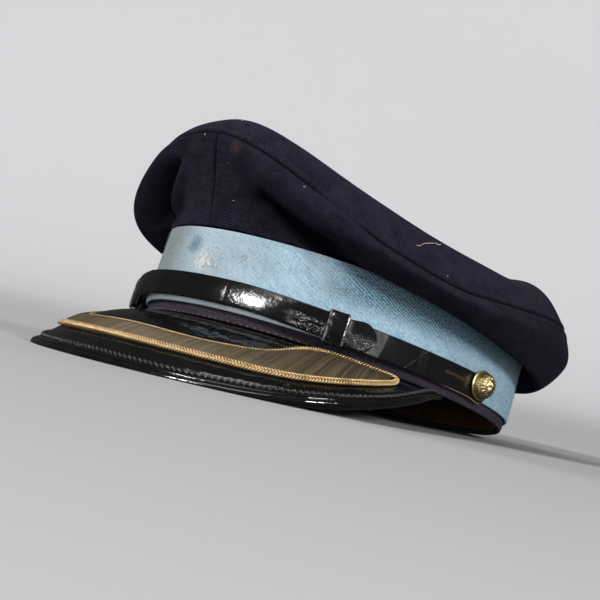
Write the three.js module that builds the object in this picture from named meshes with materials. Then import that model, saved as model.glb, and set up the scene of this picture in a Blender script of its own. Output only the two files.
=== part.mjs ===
// Visor cap in millimetres: a soft wool crown on a stiff banded base, with a patent peak, a gold
// thread crescent, a chin strap and side buttons. In the cap's own frame the rim lies in the plane
// z = 0, the front is -Y and the wearer's left is +X. The last lines set the cap down on a flat
// surface, where it leans back on the edge of its peak and the back of its rim.
import * as THREE from 'three';
import { mergeVertices } from 'three/addons/utils/BufferGeometryUtils.js';

// Head oval, measured at the rim on the outside of the band
const HALF_WIDTH = 85;
const HALF_LENGTH = 103.5;
const BAND_LEAN = 0.03; // how far the oval closes in for each millimetre of height

// Band, base ring and sweatband: heights above the rim and wall thicknesses
const GAP = 0.3; // clearance kept between neighbouring pieces
const BAND_HEIGHT = 43;
const RIM_STRIP = 5; // strip of the base ring that shows below the band
const BAND_WALL = 1.5;
const BASE_WALL = 2.2;
const BASE_HEIGHT = 41;
const SWEATBAND_WALL = 1.2;
const SWEATBAND_LOW = 2.5;
const SWEATBAND_HIGH = 40;
const RING_STEPS = 72;

// Crown wall, and its sections by angle from the front: how far out from the band and how high the
// cloth lies at the hollow above the band, under the overhang, at its widest and at the top seam
const CROWN_WALL = 2;
const CROWN_COLUMNS = [
  'angle', 'hollowOut', 'hollowUp', 'underOut', 'underUp', 'wideOut', 'wideUp', 'seamOut', 'seamUp',
];
const CROWN_SECTIONS = [
  [0, 4, 57, 8.5, 70, 13, 80, 14, 86],
  [14, 3, 57, 8, 68, 14.5, 77, 15, 82],
  [28, -1.5, 52, 6, 58, 19, 67, 17.5, 73],
  [45, 2, 46, 10, 46, 24, 53, 20.5, 59],
  [60, 5, 42.5, 12, 39.5, 26, 45, 21.5, 50.5],
  [75, 5.5, 41, 13, 36, 26, 41, 22, 46.3],
  [90, 5.5, 39.5, 13, 33, 26, 41, 21.5, 49],
  [110, 4.5, 37.5, 12, 26.5, 24, 42, 19, 54],
  [135, 4, 36.5, 11, 24, 22, 42, 17, 57],
  [180, 3.8, 36, 10, 23.5, 21, 42, 16, 58],
];
const CORNER_RISE = 4.5; // how much higher the front corner at the wearer's right stands
const CORNER_ANGLE = -24;
const CORNER_SPREAD = 15;
const SIDE_ROWS = 10;
const TOP_RINGS = 7;
const TOP_RING_CROWDING = 1.6; // rings lie closer together towards the rolled edge
const SEAM_GAP = 0.5;

// Top panel along the middle of the cap: it falls from a crest at the front in a scoop to a low saddle
// and rises again to a swell at the back
const CREST_Y = -110;
const CREST_UP = 104;
const SCOOP_POWER = 3; // a greater power hollows the scoop closer to the crest
const SADDLE_Y = 10;
const SADDLE_UP = 67;
const SWELL_Y = 75;
const SWELL_UP = 76;
const ROLL_FRONT = 20; // width of the rolled edge at the front, and how much it gains at the back
const ROLL_GAIN = 10;
const ROLL_POWER = 2;

// Peak: half its angle round the rim, how far it reaches out and drops at the middle, and the
// powers that bring both to nothing at its ends
const VISOR_ANGLE = THREE.MathUtils.degToRad(87);
const VISOR_INNER_OUT = -3.9;
const VISOR_SEAT = 0.5; // clearance under the rim
const VISOR_END_OUT = 1.5;
const VISOR_REACH = 47.5;
const VISOR_REACH_POWERS = [4.2, 1.6];
const VISOR_DROP = 36;
const VISOR_DROP_POWERS = [2.9, 2];
const VISOR_TWIST = 0.042; // drop towards the wearer's left for each millimetre sideways
const VISOR_TWIST_POWERS = [6, 1];
const VISOR_BOW = 8; // how far the peak arches above a straight slope
const VISOR_WALL = 2.5;
const VISOR_STEPS = 48;
const NORMAL_STEP = 0.01; // share of the peak over which its slope is measured
const VISOR_ROWS = 8;
const BEAD_HALF_WIDTH = 2;
const BEAD_HALF_HEIGHT = 2.3;
const BEAD_SIDES = 8;
const BEAD_TAPER = 0.86; // place across the peak from which the rolled edge thins towards its ends
const BEAD_END_SHARE = 0.4;

// Gold crescent: its inner and outer edge on the peak by the distance across the peak, as shares of
// the way from the rim to the peak's edge
const BRAID_COLUMNS = ['across', 'inner', 'outer'];
const BRAID_SECTIONS = [
  [0, 0.58, 0.79],
  [0.3, 0.57, 0.79],
  [0.42, 0.48, 0.8],
  [0.5, 0.29, 0.8],
  [0.58, 0.14, 0.78],
  [0.66, 0.15, 0.74],
  [0.74, 0.22, 0.65],
  [0.8, 0.36, 0.48],
];
const BRAID_TIP = 0.8;
const FIELD_TIP = 0.77;
const BRAID_SEAT = 0.45; // clearance over the curved peak
const BRAID_THICK = 1.2;
const BRAID_STEPS = 32;
const BRAID_ROWS = 3;
const BRAID_INSET = 2.1; // from the middle of the cord to the edge of the field
const CORD_RADIUS = 1.2;
const CORD_SIDES = 5;

// Chin strap, its loops and its buttons: angles are from the front, heights are above the rim
const STRAP_LOW = 6.8;
const STRAP_HIGH = 19.4;
const STRAP_DIP = 2.6; // how much lower the strap lies at the sides of the cap than at the front
const STRAP_DIP_START = 20;
const STRAP_DIP_END = 55;
const STRAP_WALL = 1.2;
const STRAP_END_ANGLE = 106;
const STRAP_TAB_ANGLE = 61;
const STRAP_STEPS = 44;
const STRAP_ROUND = 6; // length of the rounded ends, in degrees round the cap
const STRAP_ROUND_DEPTH = 0.9; // 1 would bring the ends to a point
const STRAP_CLIMB = 16; // degrees in which the outer length climbs onto the inner one
const KEEPER_ANGLE = 50;
const KEEPER_WIDTH = 10;
const KEEPER_WALL = 1;
const KEEPER_CLEARANCE = 0.7;
const KEEPER_LIFT = 5.5; // how far the strap stands off the band at its loops
const KEEPER_LIFT_SPREAD = 18;
const BUTTON_ANGLE = 100.6;
const BUTTON_TIP = 7; // how far a button tips towards the front on its shank, in degrees round the cap
const BUTTON_UP = 12;
const BUTTON_RADIUS = 7.4;
const BUTTON_DOME = 6.2;
const BUTTON_DOME_STEPS = 6;
const BUTTON_RIM = 1;
const BUTTON_RIM_ROLL = 1.5; // height of the rim's crest, in rim widths
const BUTTON_PETALS = 6;
const STEPS_PER_PETAL = 4;
const PETAL_RELIEF = 0.5;

// Flattening of the cloth rim and the leather edge where the cap rests
const REST_FLAT = 0.8;

const NAVY_WOOL = { color: 0x14141f, roughness: 0.95, metalness: 0 };
const FADED_NAVY = { color: 0x241c33, roughness: 0.9, metalness: 0 };
const LIGHT_BLUE_WOOL = { color: 0x7fa6b8, roughness: 0.95, metalness: 0 };
const BROWN_LEATHER = { color: 0x3a2014, roughness: 0.6, metalness: 0 };
const PATENT_LEATHER = { color: 0x0a0a0b, roughness: 0.12, metalness: 0 };
const GOLD_THREAD = { color: 0x6f5a3a, roughness: 0.5, metalness: 0.6 };
const GOLD_CORD = { color: 0xb8904a, roughness: 0.4, metalness: 0.8 };
const BRASS = { color: 0xb59a52, roughness: 0.35, metalness: 1 };

// Smooth curves through the columns of a table: calling the result with a value of the first
// column gives the other columns by name.
function smoothTable(columns, rows) {
  const keys = rows.map((row) => row[0]);
  const values = rows.flatMap((row) => row.slice(1));
  const curve = new THREE.CubicInterpolant(keys, values, columns.length - 1);
  return (key) => {
    const found = curve.evaluate(THREE.MathUtils.clamp(key, keys[0], keys[keys.length - 1]));
    return Object.fromEntries(columns.slice(1).map((name, place) => [name, found[place]]));
  };
}

// The same rows followed back the other way, so that a table of one half serves both halves.
function mirrored(rows, centre) {
  return rows.map((row) => [2 * centre - row[0], ...row.slice(1)]).reverse();
}

const fromFront = mirrored(CROWN_SECTIONS.slice(1), 0);
const fromBack = mirrored(CROWN_SECTIONS.slice(0, -1), 180);
const crownSection = smoothTable(CROWN_COLUMNS, [...fromFront, ...CROWN_SECTIONS, ...fromBack]);
const braidSection = smoothTable(
  BRAID_COLUMNS,
  [...mirrored(BRAID_SECTIONS.slice(1), 0), ...BRAID_SECTIONS],
);

// Outward direction of the head oval at an angle from the front.
function ovalNormal(angle) {
  return new THREE.Vector3(Math.sin(angle) / HALF_WIDTH, -Math.cos(angle) / HALF_LENGTH, 0).normalize();
}

// Point at an angle from the front, moved out from the head oval and up from the rim.
function ovalPoint(angle, out, up) {
  const point = new THREE.Vector3(HALF_WIDTH * Math.sin(angle), -HALF_LENGTH * Math.cos(angle), up);
  return point.addScaledVector(ovalNormal(angle), out - BAND_LEAN * up);
}

// Lowest height that a piece may have over a place of the surface the cap rests on, which touches
// the middle of the peak's edge and the back of the rim.
const rearY = HALF_LENGTH - BAND_WALL - GAP;
const frontY = -HALF_LENGTH - VISOR_REACH;
const restSlope = (VISOR_SEAT + VISOR_DROP + BEAD_HALF_HEIGHT) / (rearY - frontY);
function restHeight(x, y) {
  return REST_FLAT - VISOR_TWIST * x + restSlope * (y - rearY);
}

// A point lifted onto the resting surface where it would lie below it.
function settled(point) {
  return point.setZ(Math.max(point.z, restHeight(point.x, point.y)));
}

// Evenly spaced numbers from low to high, both included.
function spread(low, high, steps) {
  return Array.from({ length: steps + 1 }, (_, step) => low + ((high - low) * step) / steps);
}

// Closed body from points and triangle corners: equal points are joined, triangles that have
// shrunk to a line are dropped, and the faces are turned outwards.
function closedBody(points, corners) {
  const loose = new THREE.BufferGeometry().setFromPoints(points);
  loose.setIndex(corners);
  const body = mergeVertices(loose);
  const place = body.getAttribute('position');
  const [a, b, c] = [new THREE.Vector3(), new THREE.Vector3(), new THREE.Vector3()];
  const kept = [];
  let volume = 0;
  for (let first = 0; first < corners.length; first += 3) {
    const triangle = [0, 1, 2].map((corner) => body.getIndex().getX(first + corner));
    if (new Set(triangle).size === 3) {
      kept.push(...triangle);
      [a, b, c].forEach((corner, number) => corner.fromBufferAttribute(place, triangle[number]));
      volume += a.dot(b.cross(c)) / 6;
    }
  }
  body.setIndex(volume > 0 ? kept : kept.reverse());
  body.computeVertexNormals();
  return body;
}

// Two triangles of a quadrilateral.
function quad(corners, a, b, c, d) {
  corners.push(a, b, c, a, c, d);
}

// Closed wall between two faces of points, [row][column]. A ring joins its last column to its first.
function wallBody(outer, inner, ring) {
  const rows = outer.length;
  const columns = outer[0].length;
  const across = ring ? columns : columns - 1;
  const lastRow = rows - 1;
  const lastColumn = columns - 1;
  const out = (row, column) => row * columns + (column % columns);
  const into = (row, column) => rows * columns + out(row, column);
  const corners = [];
  for (let row = 0; row < lastRow; row += 1) {
    for (let column = 0; column < across; column += 1) {
      const next = column + 1;
      quad(corners, out(row, column), out(row, next), out(row + 1, next), out(row + 1, column));
      quad(corners, into(row, column), into(row + 1, column), into(row + 1, next), into(row, next));
    }
    if (!ring) {
      quad(corners, out(row, 0), out(row + 1, 0), into(row + 1, 0), into(row, 0));
      quad(
        corners,
        out(row, lastColumn), into(row, lastColumn), into(row + 1, lastColumn), out(row + 1, lastColumn),
      );
    }
  }
  for (let column = 0; column < across; column += 1) {
    const next = column + 1;
    quad(corners, out(0, column), into(0, column), into(0, next), out(0, next));
    quad(corners, out(lastRow, column), out(lastRow, next), into(lastRow, next), into(lastRow, column));
  }
  return closedBody([...outer.flat(), ...inner.flat()], corners);
}

// Closed body through sections of equal count, each a convex loop of points. A closed path joins
// its last section to its first, and an open one has flat ends.
function loftBody(sections, closedPath) {
  const sides = sections[0].length;
  const count = sections.length;
  const at = (section, side) => (section % count) * sides + (side % sides);
  const corners = [];
  for (let section = 0; section < (closedPath ? count : count - 1); section += 1) {
    for (let side = 0; side < sides; side += 1) {
      const next = side + 1;
      quad(corners, at(section, side), at(section, next), at(section + 1, next), at(section + 1, side));
    }
  }
  for (let side = 1; side < sides - 1 && !closedPath; side += 1) {
    corners.push(at(0, 0), at(0, side + 1), at(0, side));
    corners.push(at(count - 1, 0), at(count - 1, side), at(count - 1, side + 1));
  }
  return closedBody(sections.flat(), corners);
}

// Unit normals of a face of points, from its neighbours along the rows and the columns.
function faceNormals(face, ring) {
  const columns = face[0].length;
  const lastRow = face.length - 1;
  return face.map((points, row) => points.map((_, column) => {
    const before = ring ? (column + columns - 1) % columns : Math.max(column - 1, 0);
    const after = ring ? (column + 1) % columns : Math.min(column + 1, columns - 1);
    const along = points[after].clone().sub(points[before]);
    const up = face[Math.min(row + 1, lastRow)][column].clone().sub(face[Math.max(row - 1, 0)][column]);
    return along.cross(up).normalize();
  }));
}

// Face of points moved by a distance along its normals.
function movedFace(face, normals, distance) {
  return face.map((points, row) => points.map(
    (point, column) => point.clone().addScaledVector(normals[row][column], distance),
  ));
}

// Plain ring round the head oval between two distances out and two heights.
function ringBody(innerOut, outerOut, lowUp, highUp) {
  const angles = spread(0, 2 * Math.PI, RING_STEPS).slice(0, -1);
  const sections = angles.map((angle) => [
    settled(ovalPoint(angle, innerOut, lowUp)),
    settled(ovalPoint(angle, outerOut, lowUp)),
    ovalPoint(angle, outerOut, highUp),
    ovalPoint(angle, innerOut, highUp),
  ]);
  return loftBody(sections, true);
}

// Height of the top panel at a place from front to back.
function topHeight(y) {
  const scoop = Math.max((SADDLE_Y - y) / (SADDLE_Y - CREST_Y), 0) ** SCOOP_POWER;
  const swell = THREE.MathUtils.smoothstep(y, SADDLE_Y, SWELL_Y);
  return SADDLE_UP + (CREST_UP - SADDLE_UP) * scoop + (SWELL_UP - SADDLE_UP) * swell;
}

// Outside of the crown at an angle: rows up the side to the top seam, then in over the top panel,
// which rolls over from the seam to its own height and ends in the middle of the cap.
function crownColumn(angle) {
  const degrees = THREE.MathUtils.radToDeg(angle);
  const section = crownSection(Math.abs(degrees));
  const rise = CORNER_RISE * Math.exp(-(((degrees - CORNER_ANGLE) / CORNER_SPREAD) ** 2));
  const profile = new THREE.SplineCurve([
    new THREE.Vector2(0, BAND_HEIGHT + 2 * GAP),
    new THREE.Vector2(section.hollowOut, section.hollowUp),
    new THREE.Vector2(section.underOut, section.underUp),
    new THREE.Vector2(section.wideOut, section.wideUp + rise),
    new THREE.Vector2(section.seamOut, section.seamUp + rise),
  ]);
  const side = profile.getPoints(SIDE_ROWS - 1).map((point) => ovalPoint(angle, point.x, point.y));
  const seam = side[SIDE_ROWS - 1];
  const roll = ROLL_FRONT + ROLL_GAIN * Math.sin(Math.abs(angle) / 2);
  const reach = Math.hypot(seam.x, seam.y);
  const top = spread(0, 1, TOP_RINGS).slice(1).map((ring) => {
    const inward = ring ** TOP_RING_CROWDING;
    const point = new THREE.Vector3(seam.x * (1 - inward), seam.y * (1 - inward), 0);
    const flat = 1 - (1 - Math.min((inward * reach) / roll, 1)) ** ROLL_POWER;
    return point.setZ(THREE.MathUtils.lerp(seam.z, topHeight(point.y), flat));
  });
  return [...side, ...top];
}

// Point on the upper face of the peak: across runs from -1 at the wearer's right end to 1 at the
// left, and along from 0 at the rim to 1 at the middle of the rolled edge.
function visorPoint(across, along) {
  const angle = across * VISOR_ANGLE;
  const share = (powers) => Math.max(1 - Math.abs(across) ** powers[0], 0) ** powers[1];
  const reach = (VISOR_REACH - VISOR_END_OUT) * share(VISOR_REACH_POWERS);
  const rim = ovalPoint(angle, VISOR_INNER_OUT, 0);
  const edge = ovalPoint(angle, VISOR_END_OUT + reach, 0);
  const twist = VISOR_TWIST * edge.x * share(VISOR_TWIST_POWERS);
  edge.z = -VISOR_DROP * share(VISOR_DROP_POWERS) - twist;
  const point = rim.lerp(edge, along);
  point.z += 4 * along * (1 - along) * VISOR_BOW * share(VISOR_DROP_POWERS) - VISOR_SEAT;
  return point;
}

// Upward normal of the peak's face.
function visorNormal(across, along) {
  const step = NORMAL_STEP;
  const sideways = visorPoint(across + step, along).sub(visorPoint(across - step, along));
  const outwards = visorPoint(across, along + step).sub(visorPoint(across, along - step));
  const normal = sideways.cross(outwards).normalize();
  return normal.z > 0 ? normal : normal.negate();
}

// Point above the peak's face.
function abovePeak(across, along, distance) {
  return visorPoint(across, along).addScaledVector(visorNormal(across, along), distance);
}

// Share of the way along the peak that a distance in millimetres takes.
function visorShare(across, distance) {
  return distance / visorPoint(across, 0).distanceTo(visorPoint(across, 1));
}

// Share of its full thickness that the rolled edge has at a place across the peak.
function beadShare(across) {
  const thinned = THREE.MathUtils.smoothstep(Math.abs(across), BEAD_TAPER, 1);
  return THREE.MathUtils.lerp(1, BEAD_END_SHARE, thinned);
}

// Round loop of points about a centre, in the plane of two directions with their own radii.
function loop(centre, first, firstRadius, second, secondRadius, sides) {
  return spread(0, 2 * Math.PI, sides).slice(0, -1).map((turn) => centre.clone()
    .addScaledVector(first, firstRadius * Math.cos(turn))
    .addScaledVector(second, secondRadius * Math.sin(turn)));
}

// How far the chin strap's inner face stands off the band at an angle in degrees.
function strapLift(degrees) {
  const away = (Math.abs(degrees) - KEEPER_ANGLE) / KEEPER_LIFT_SPREAD;
  return GAP + KEEPER_LIFT * Math.exp(-(away ** 2));
}

// Height of the middle of the chin strap at an angle in degrees.
function strapMiddle(degrees) {
  const dip = THREE.MathUtils.smoothstep(Math.abs(degrees), STRAP_DIP_START, STRAP_DIP_END);
  return (STRAP_LOW + STRAP_HIGH) / 2 - STRAP_DIP * dip;
}

// One length of the chin strap between two angles, with rounded ends. extra gives its added
// distance from the band at each angle.
function strapBody(fromAngle, toAngle, extra) {
  const half = (STRAP_HIGH - STRAP_LOW) / 2;
  const sections = spread(fromAngle, toAngle, STRAP_STEPS).map((degrees) => {
    const fromEnd = Math.min(degrees - fromAngle, toAngle - degrees);
    const curve = 1 - Math.min(fromEnd / STRAP_ROUND, 1);
    const height = half * Math.sqrt(1 - STRAP_ROUND_DEPTH * curve ** 2);
    const angle = THREE.MathUtils.degToRad(degrees);
    const middle = strapMiddle(degrees);
    const inner = strapLift(degrees) + extra(degrees);
    const outer = inner + STRAP_WALL;
    return [
      ovalPoint(angle, inner, middle - height),
      ovalPoint(angle, outer, middle - height),
      ovalPoint(angle, outer, middle + height),
      ovalPoint(angle, inner, middle + height),
    ];
  });
  return loftBody(sections, false);
}

const cap = new THREE.Group();
function addPiece(name, geometry, finish) {
  const mesh = new THREE.Mesh(geometry, new THREE.MeshStandardMaterial(finish));
  mesh.name = name;
  cap.add(mesh);
  return mesh;
}

// Base ring, the band round it and the sweatband inside it
const baseOuter = -BAND_WALL - GAP;
const baseInner = baseOuter - BASE_WALL;
const sweatOuter = baseInner - GAP;
addPiece('band_base', ringBody(baseInner, baseOuter, 0, BASE_HEIGHT), FADED_NAVY);
addPiece('band', ringBody(-BAND_WALL, 0, RIM_STRIP, BAND_HEIGHT), LIGHT_BLUE_WOOL);
const sweatInner = sweatOuter - SWEATBAND_WALL;
addPiece('sweatband', ringBody(sweatInner, sweatOuter, SWEATBAND_LOW, SWEATBAND_HIGH), BROWN_LEATHER);

// Crown: one face of points for the whole crown gives the walls of its two sides and its top, which
// keep a small gap at their seams
const crownAngles = spread(-Math.PI, Math.PI, RING_STEPS).slice(0, -1);
const crownColumns = crownAngles.map(crownColumn);
const crownOuter = crownColumns[0].map((_, row) => crownColumns.map((column) => column[row]));
const crownInner = movedFace(crownOuter, faceNormals(crownOuter, true), -CROWN_WALL);

// Rows of a crown face on one side of the front and back seams, drawn back from those seams.
function crownHalf(face, sign) {
  const half = RING_STEPS / 2;
  const first = sign > 0 ? half : 0;
  return face.slice(0, SIDE_ROWS).map((points) => {
    const places = spread(first, first + half, half).map((place) => points[place % RING_STEPS].clone());
    [places[0], places[half]].forEach((point) => point.setX(point.x + (sign * SEAM_GAP) / 2));
    return places;
  });
}
for (const [side, sign] of [['left', 1], ['right', -1]]) {
  const half = wallBody(crownHalf(crownOuter, sign), crownHalf(crownInner, sign), false);
  addPiece(`crown_side_${side}`, half, NAVY_WOOL);
}

// Rows of a crown face from the top seam to the middle, drawn in from the seam.
function crownCentre(face) {
  const rows = face.slice(SIDE_ROWS - 1);
  const edge = rows[0].map((point, column) => {
    const inward = rows[1][column].clone().sub(point).normalize();
    return point.clone().addScaledVector(inward, SEAM_GAP);
  });
  const lastRow = rows[rows.length - 1];
  const centre = lastRow.reduce((sum, point) => sum.add(point), new THREE.Vector3());
  const pole = centre.divideScalar(lastRow.length);
  return [edge, ...rows.slice(1, -1), lastRow.map(() => pole)];
}
addPiece('crown_top', wallBody(crownCentre(crownOuter), crownCentre(crownInner), true), NAVY_WOOL);

// Peak: its face ends just short of the rolled edge
const visorAcross = spread(-1, 1, VISOR_STEPS);
const visorUpper = spread(0, 1, VISOR_ROWS - 1).map((row) => visorAcross.map(
  (across) => visorPoint(
    across,
    row * (1 - visorShare(across, BEAD_HALF_WIDTH * beadShare(across) + GAP)),
  ),
));
const visorLower = movedFace(visorUpper, faceNormals(visorUpper, false), VISOR_WALL);
addPiece('visor', wallBody(visorUpper, visorLower, false), PATENT_LEATHER);

const beadSections = visorAcross.map((across) => {
  const centre = abovePeak(across, 1, -VISOR_WALL / 2);
  const up = visorNormal(across, 1);
  const outwards = visorPoint(across, 1).sub(visorPoint(across, 1 - NORMAL_STEP)).normalize();
  const halfWidth = BEAD_HALF_WIDTH * beadShare(across);
  const halfHeight = BEAD_HALF_HEIGHT * beadShare(across);
  return loop(centre, outwards, halfWidth, up, halfHeight, BEAD_SIDES).map(settled);
});
addPiece('visor_binding', loftBody(beadSections, false), PATENT_LEATHER);

// Gold crescent, inside the line of the cord that outlines it
const fieldRows = spread(0, 1, BRAID_ROWS).map((row) => spread(-FIELD_TIP, FIELD_TIP, BRAID_STEPS).map(
  (across) => {
    const section = braidSection(across);
    const inset = visorShare(across, BRAID_INSET);
    const along = THREE.MathUtils.lerp(section.inner + inset, section.outer - inset, row);
    return { across, along };
  },
));
const fieldFace = (distance) => fieldRows.map(
  (row) => row.map((place) => abovePeak(place.across, place.along, distance)),
);
const fieldUpper = fieldFace(BRAID_SEAT + BRAID_THICK);
addPiece('braid_field', wallBody(fieldUpper, fieldFace(BRAID_SEAT), false), GOLD_THREAD);

const outerEdge = spread(-BRAID_TIP, BRAID_TIP, BRAID_STEPS).map(
  (across) => abovePeak(across, braidSection(across).outer, BRAID_SEAT + CORD_RADIUS),
);
const innerEdge = spread(BRAID_TIP, -BRAID_TIP, BRAID_STEPS).map(
  (across) => abovePeak(across, braidSection(across).inner, BRAID_SEAT + CORD_RADIUS),
);
const cordPath = [...outerEdge, ...innerEdge];
const cordSections = cordPath.map((centre, place) => {
  const before = cordPath[(place + cordPath.length - 1) % cordPath.length];
  const after = cordPath[(place + 1) % cordPath.length];
  const along = after.clone().sub(before).normalize();
  const up = new THREE.Vector3(0, 0, 1).addScaledVector(along, -along.z).normalize();
  const sideways = along.clone().cross(up);
  return loop(centre, sideways, CORD_RADIUS, up, CORD_RADIUS, CORD_SIDES);
});
addPiece('braid_cord', loftBody(cordSections, true), GOLD_CORD);

// Chin strap: the inner length runs from the left button to a little past the right loop, and the
// outer one lies over it, from the right button to a little past the left loop
const overInner = (degrees) => (STRAP_WALL + GAP)
  * THREE.MathUtils.smoothstep(degrees, -STRAP_TAB_ANGLE - STRAP_CLIMB, -STRAP_TAB_ANGLE);
addPiece('strap_inner', strapBody(-STRAP_TAB_ANGLE, STRAP_END_ANGLE, () => 0), PATENT_LEATHER);
addPiece('strap_outer', strapBody(-STRAP_END_ANGLE, STRAP_TAB_ANGLE, overInner), PATENT_LEATHER);

// Loop round both lengths of the strap: a rectangle with a rectangular hole, as wide as the loop
function keeperGeometry() {
  const deep = 2 * STRAP_WALL + GAP + 2 * KEEPER_CLEARANCE;
  const high = STRAP_HIGH - STRAP_LOW + 2 * KEEPER_CLEARANCE;
  const rectangle = (width, height) => [
    new THREE.Vector2(-width / 2, -height / 2),
    new THREE.Vector2(width / 2, -height / 2),
    new THREE.Vector2(width / 2, height / 2),
    new THREE.Vector2(-width / 2, height / 2),
  ];
  const shape = new THREE.Shape(rectangle(deep + 2 * KEEPER_WALL, high + 2 * KEEPER_WALL));
  shape.holes.push(new THREE.Path(rectangle(deep, high)));
  const geometry = new THREE.ExtrudeGeometry(shape, { depth: KEEPER_WIDTH, bevelEnabled: false });
  return geometry.translate(0, 0, -KEEPER_WIDTH / 2);
}

// Domed button about its own Y axis: a rolled rim and a dome with petals in low relief.
function buttonGeometry() {
  const domeRadius = BUTTON_RADIUS - BUTTON_RIM;
  const dome = spread(0, Math.PI / 2, BUTTON_DOME_STEPS).map((turn) => new THREE.Vector2(
    domeRadius * Math.cos(turn),
    BUTTON_RIM + BUTTON_DOME * Math.sin(turn),
  ));
  dome[dome.length - 1].x = 0;
  const profile = [
    new THREE.Vector2(0, 0),
    new THREE.Vector2(BUTTON_RADIUS, 0),
    new THREE.Vector2(BUTTON_RADIUS, BUTTON_RIM),
    new THREE.Vector2(BUTTON_RADIUS - BUTTON_RIM / 2, BUTTON_RIM_ROLL * BUTTON_RIM),
    ...dome,
  ];
  const lathe = new THREE.LatheGeometry(profile, STEPS_PER_PETAL * BUTTON_PETALS);
  const place = lathe.getAttribute('position');
  const points = [];
  for (let vertex = 0; vertex < place.count; vertex += 1) {
    const point = new THREE.Vector3().fromBufferAttribute(place, vertex);
    const radius = Math.hypot(point.x, point.z);
    const onDome = point.y > 2 * BUTTON_RIM ? Math.sin((Math.PI * radius) / domeRadius) : 0;
    const petal = Math.cos(BUTTON_PETALS * Math.atan2(point.z, point.x));
    points.push(point.setY(point.y + PETAL_RELIEF * onDome * petal));
  }
  return closedBody(points, Array.from(lathe.getIndex().array));
}

const Y_AXIS = new THREE.Vector3(0, 1, 0);
for (const [side, sign] of [['left', 1], ['right', -1]]) {
  const keeperAngle = THREE.MathUtils.degToRad(sign * KEEPER_ANGLE);
  const keeperOut = strapLift(KEEPER_ANGLE) + STRAP_WALL + GAP / 2;
  const keeper = addPiece(`keeper_${side}`, keeperGeometry(), PATENT_LEATHER);
  keeper.position.copy(ovalPoint(keeperAngle, keeperOut, strapMiddle(KEEPER_ANGLE)));
  const keeperOutward = ovalNormal(keeperAngle);
  const keeperUp = new THREE.Vector3(0, 0, 1).addScaledVector(keeperOutward, -BAND_LEAN).normalize();
  const keeperFacing = keeperUp.clone().cross(keeperOutward).cross(keeperUp).normalize();
  const keeperAlong = keeperFacing.clone().cross(keeperUp);
  keeper.setRotationFromMatrix(new THREE.Matrix4().makeBasis(keeperFacing, keeperUp, keeperAlong));

  const buttonAngle = THREE.MathUtils.degToRad(sign * BUTTON_ANGLE);
  const buttonFacing = ovalNormal(buttonAngle - THREE.MathUtils.degToRad(sign * BUTTON_TIP));
  const tipRise = BUTTON_RADIUS * Math.sin(buttonFacing.angleTo(ovalNormal(buttonAngle)));
  const buttonOut = strapLift(BUTTON_ANGLE) + STRAP_WALL + GAP + tipRise;
  const button = addPiece(`button_${side}`, buttonGeometry(), BRASS);
  button.position.copy(ovalPoint(buttonAngle, buttonOut, BUTTON_UP));
  button.quaternion.setFromUnitVectors(Y_AXIS, buttonFacing);
}

// The cap set down: the resting surface becomes level, with the middle of the cap over the origin
const restNormal = new THREE.Vector3(VISOR_TWIST, -restSlope, 1).normalize();
cap.quaternion.setFromUnitVectors(restNormal, new THREE.Vector3(0, 0, 1));
const room = new THREE.Box3().setFromObject(cap, true);
const middle = room.getCenter(new THREE.Vector3());
cap.position.set(-middle.x, -middle.y, -room.min.z);

export default cap;
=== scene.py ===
import bmesh
import bpy
import numpy as np
from mathutils import Matrix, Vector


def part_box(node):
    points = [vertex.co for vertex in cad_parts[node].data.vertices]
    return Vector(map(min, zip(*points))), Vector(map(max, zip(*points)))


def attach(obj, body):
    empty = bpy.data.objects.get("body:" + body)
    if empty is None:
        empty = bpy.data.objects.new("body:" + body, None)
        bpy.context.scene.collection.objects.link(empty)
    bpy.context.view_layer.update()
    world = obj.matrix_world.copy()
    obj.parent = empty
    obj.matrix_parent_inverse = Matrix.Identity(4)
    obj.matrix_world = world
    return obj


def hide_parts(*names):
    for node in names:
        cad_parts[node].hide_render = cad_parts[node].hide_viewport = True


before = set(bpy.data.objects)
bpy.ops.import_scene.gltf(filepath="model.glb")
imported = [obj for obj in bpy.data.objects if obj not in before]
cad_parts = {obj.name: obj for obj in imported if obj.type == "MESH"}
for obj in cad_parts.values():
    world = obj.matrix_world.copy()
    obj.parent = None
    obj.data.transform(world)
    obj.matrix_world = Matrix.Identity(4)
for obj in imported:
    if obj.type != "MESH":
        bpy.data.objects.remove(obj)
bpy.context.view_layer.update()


# Base ring: the stiff ring of full height that carries the whole cap, covered in navy wool that
# has faded towards purple. Only a strip of it shows below the band, quilted with reddish thread.
HALF_WIDTH = 85.0
HALF_LENGTH = 103.5
LEAN = 0.03  # how far the head oval closes in for each millimetre of height
BASE_OUT = -1.8
BASE_WALL = 2.2
BASE_HEIGHT = 41.0
BAND_LOW = 5.0
BAND_HIGH = 43.0
REST_DROP = 38.8  # the peak's edge below the rim, and its distance from the back of the rim
REST_LENGTH = 252.7
REST_BACK = 101.7
REST_FLAT = 0.8
PEAK_TWIST = 0.042
UPWARD = np.array([0.0, 0.0, 1.0])
FADED_NAVY = (0.013, 0.012, 0.018, 1.0)
FADED_PURPLE = (0.040, 0.035, 0.046, 1.0)
RED_THREAD = (0.080, 0.030, 0.026, 1.0)
SHEEN_BLUE = (0.6, 0.6, 0.9, 1.0)
LINT_GREY = (0.55, 0.53, 0.5, 1.0)


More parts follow.
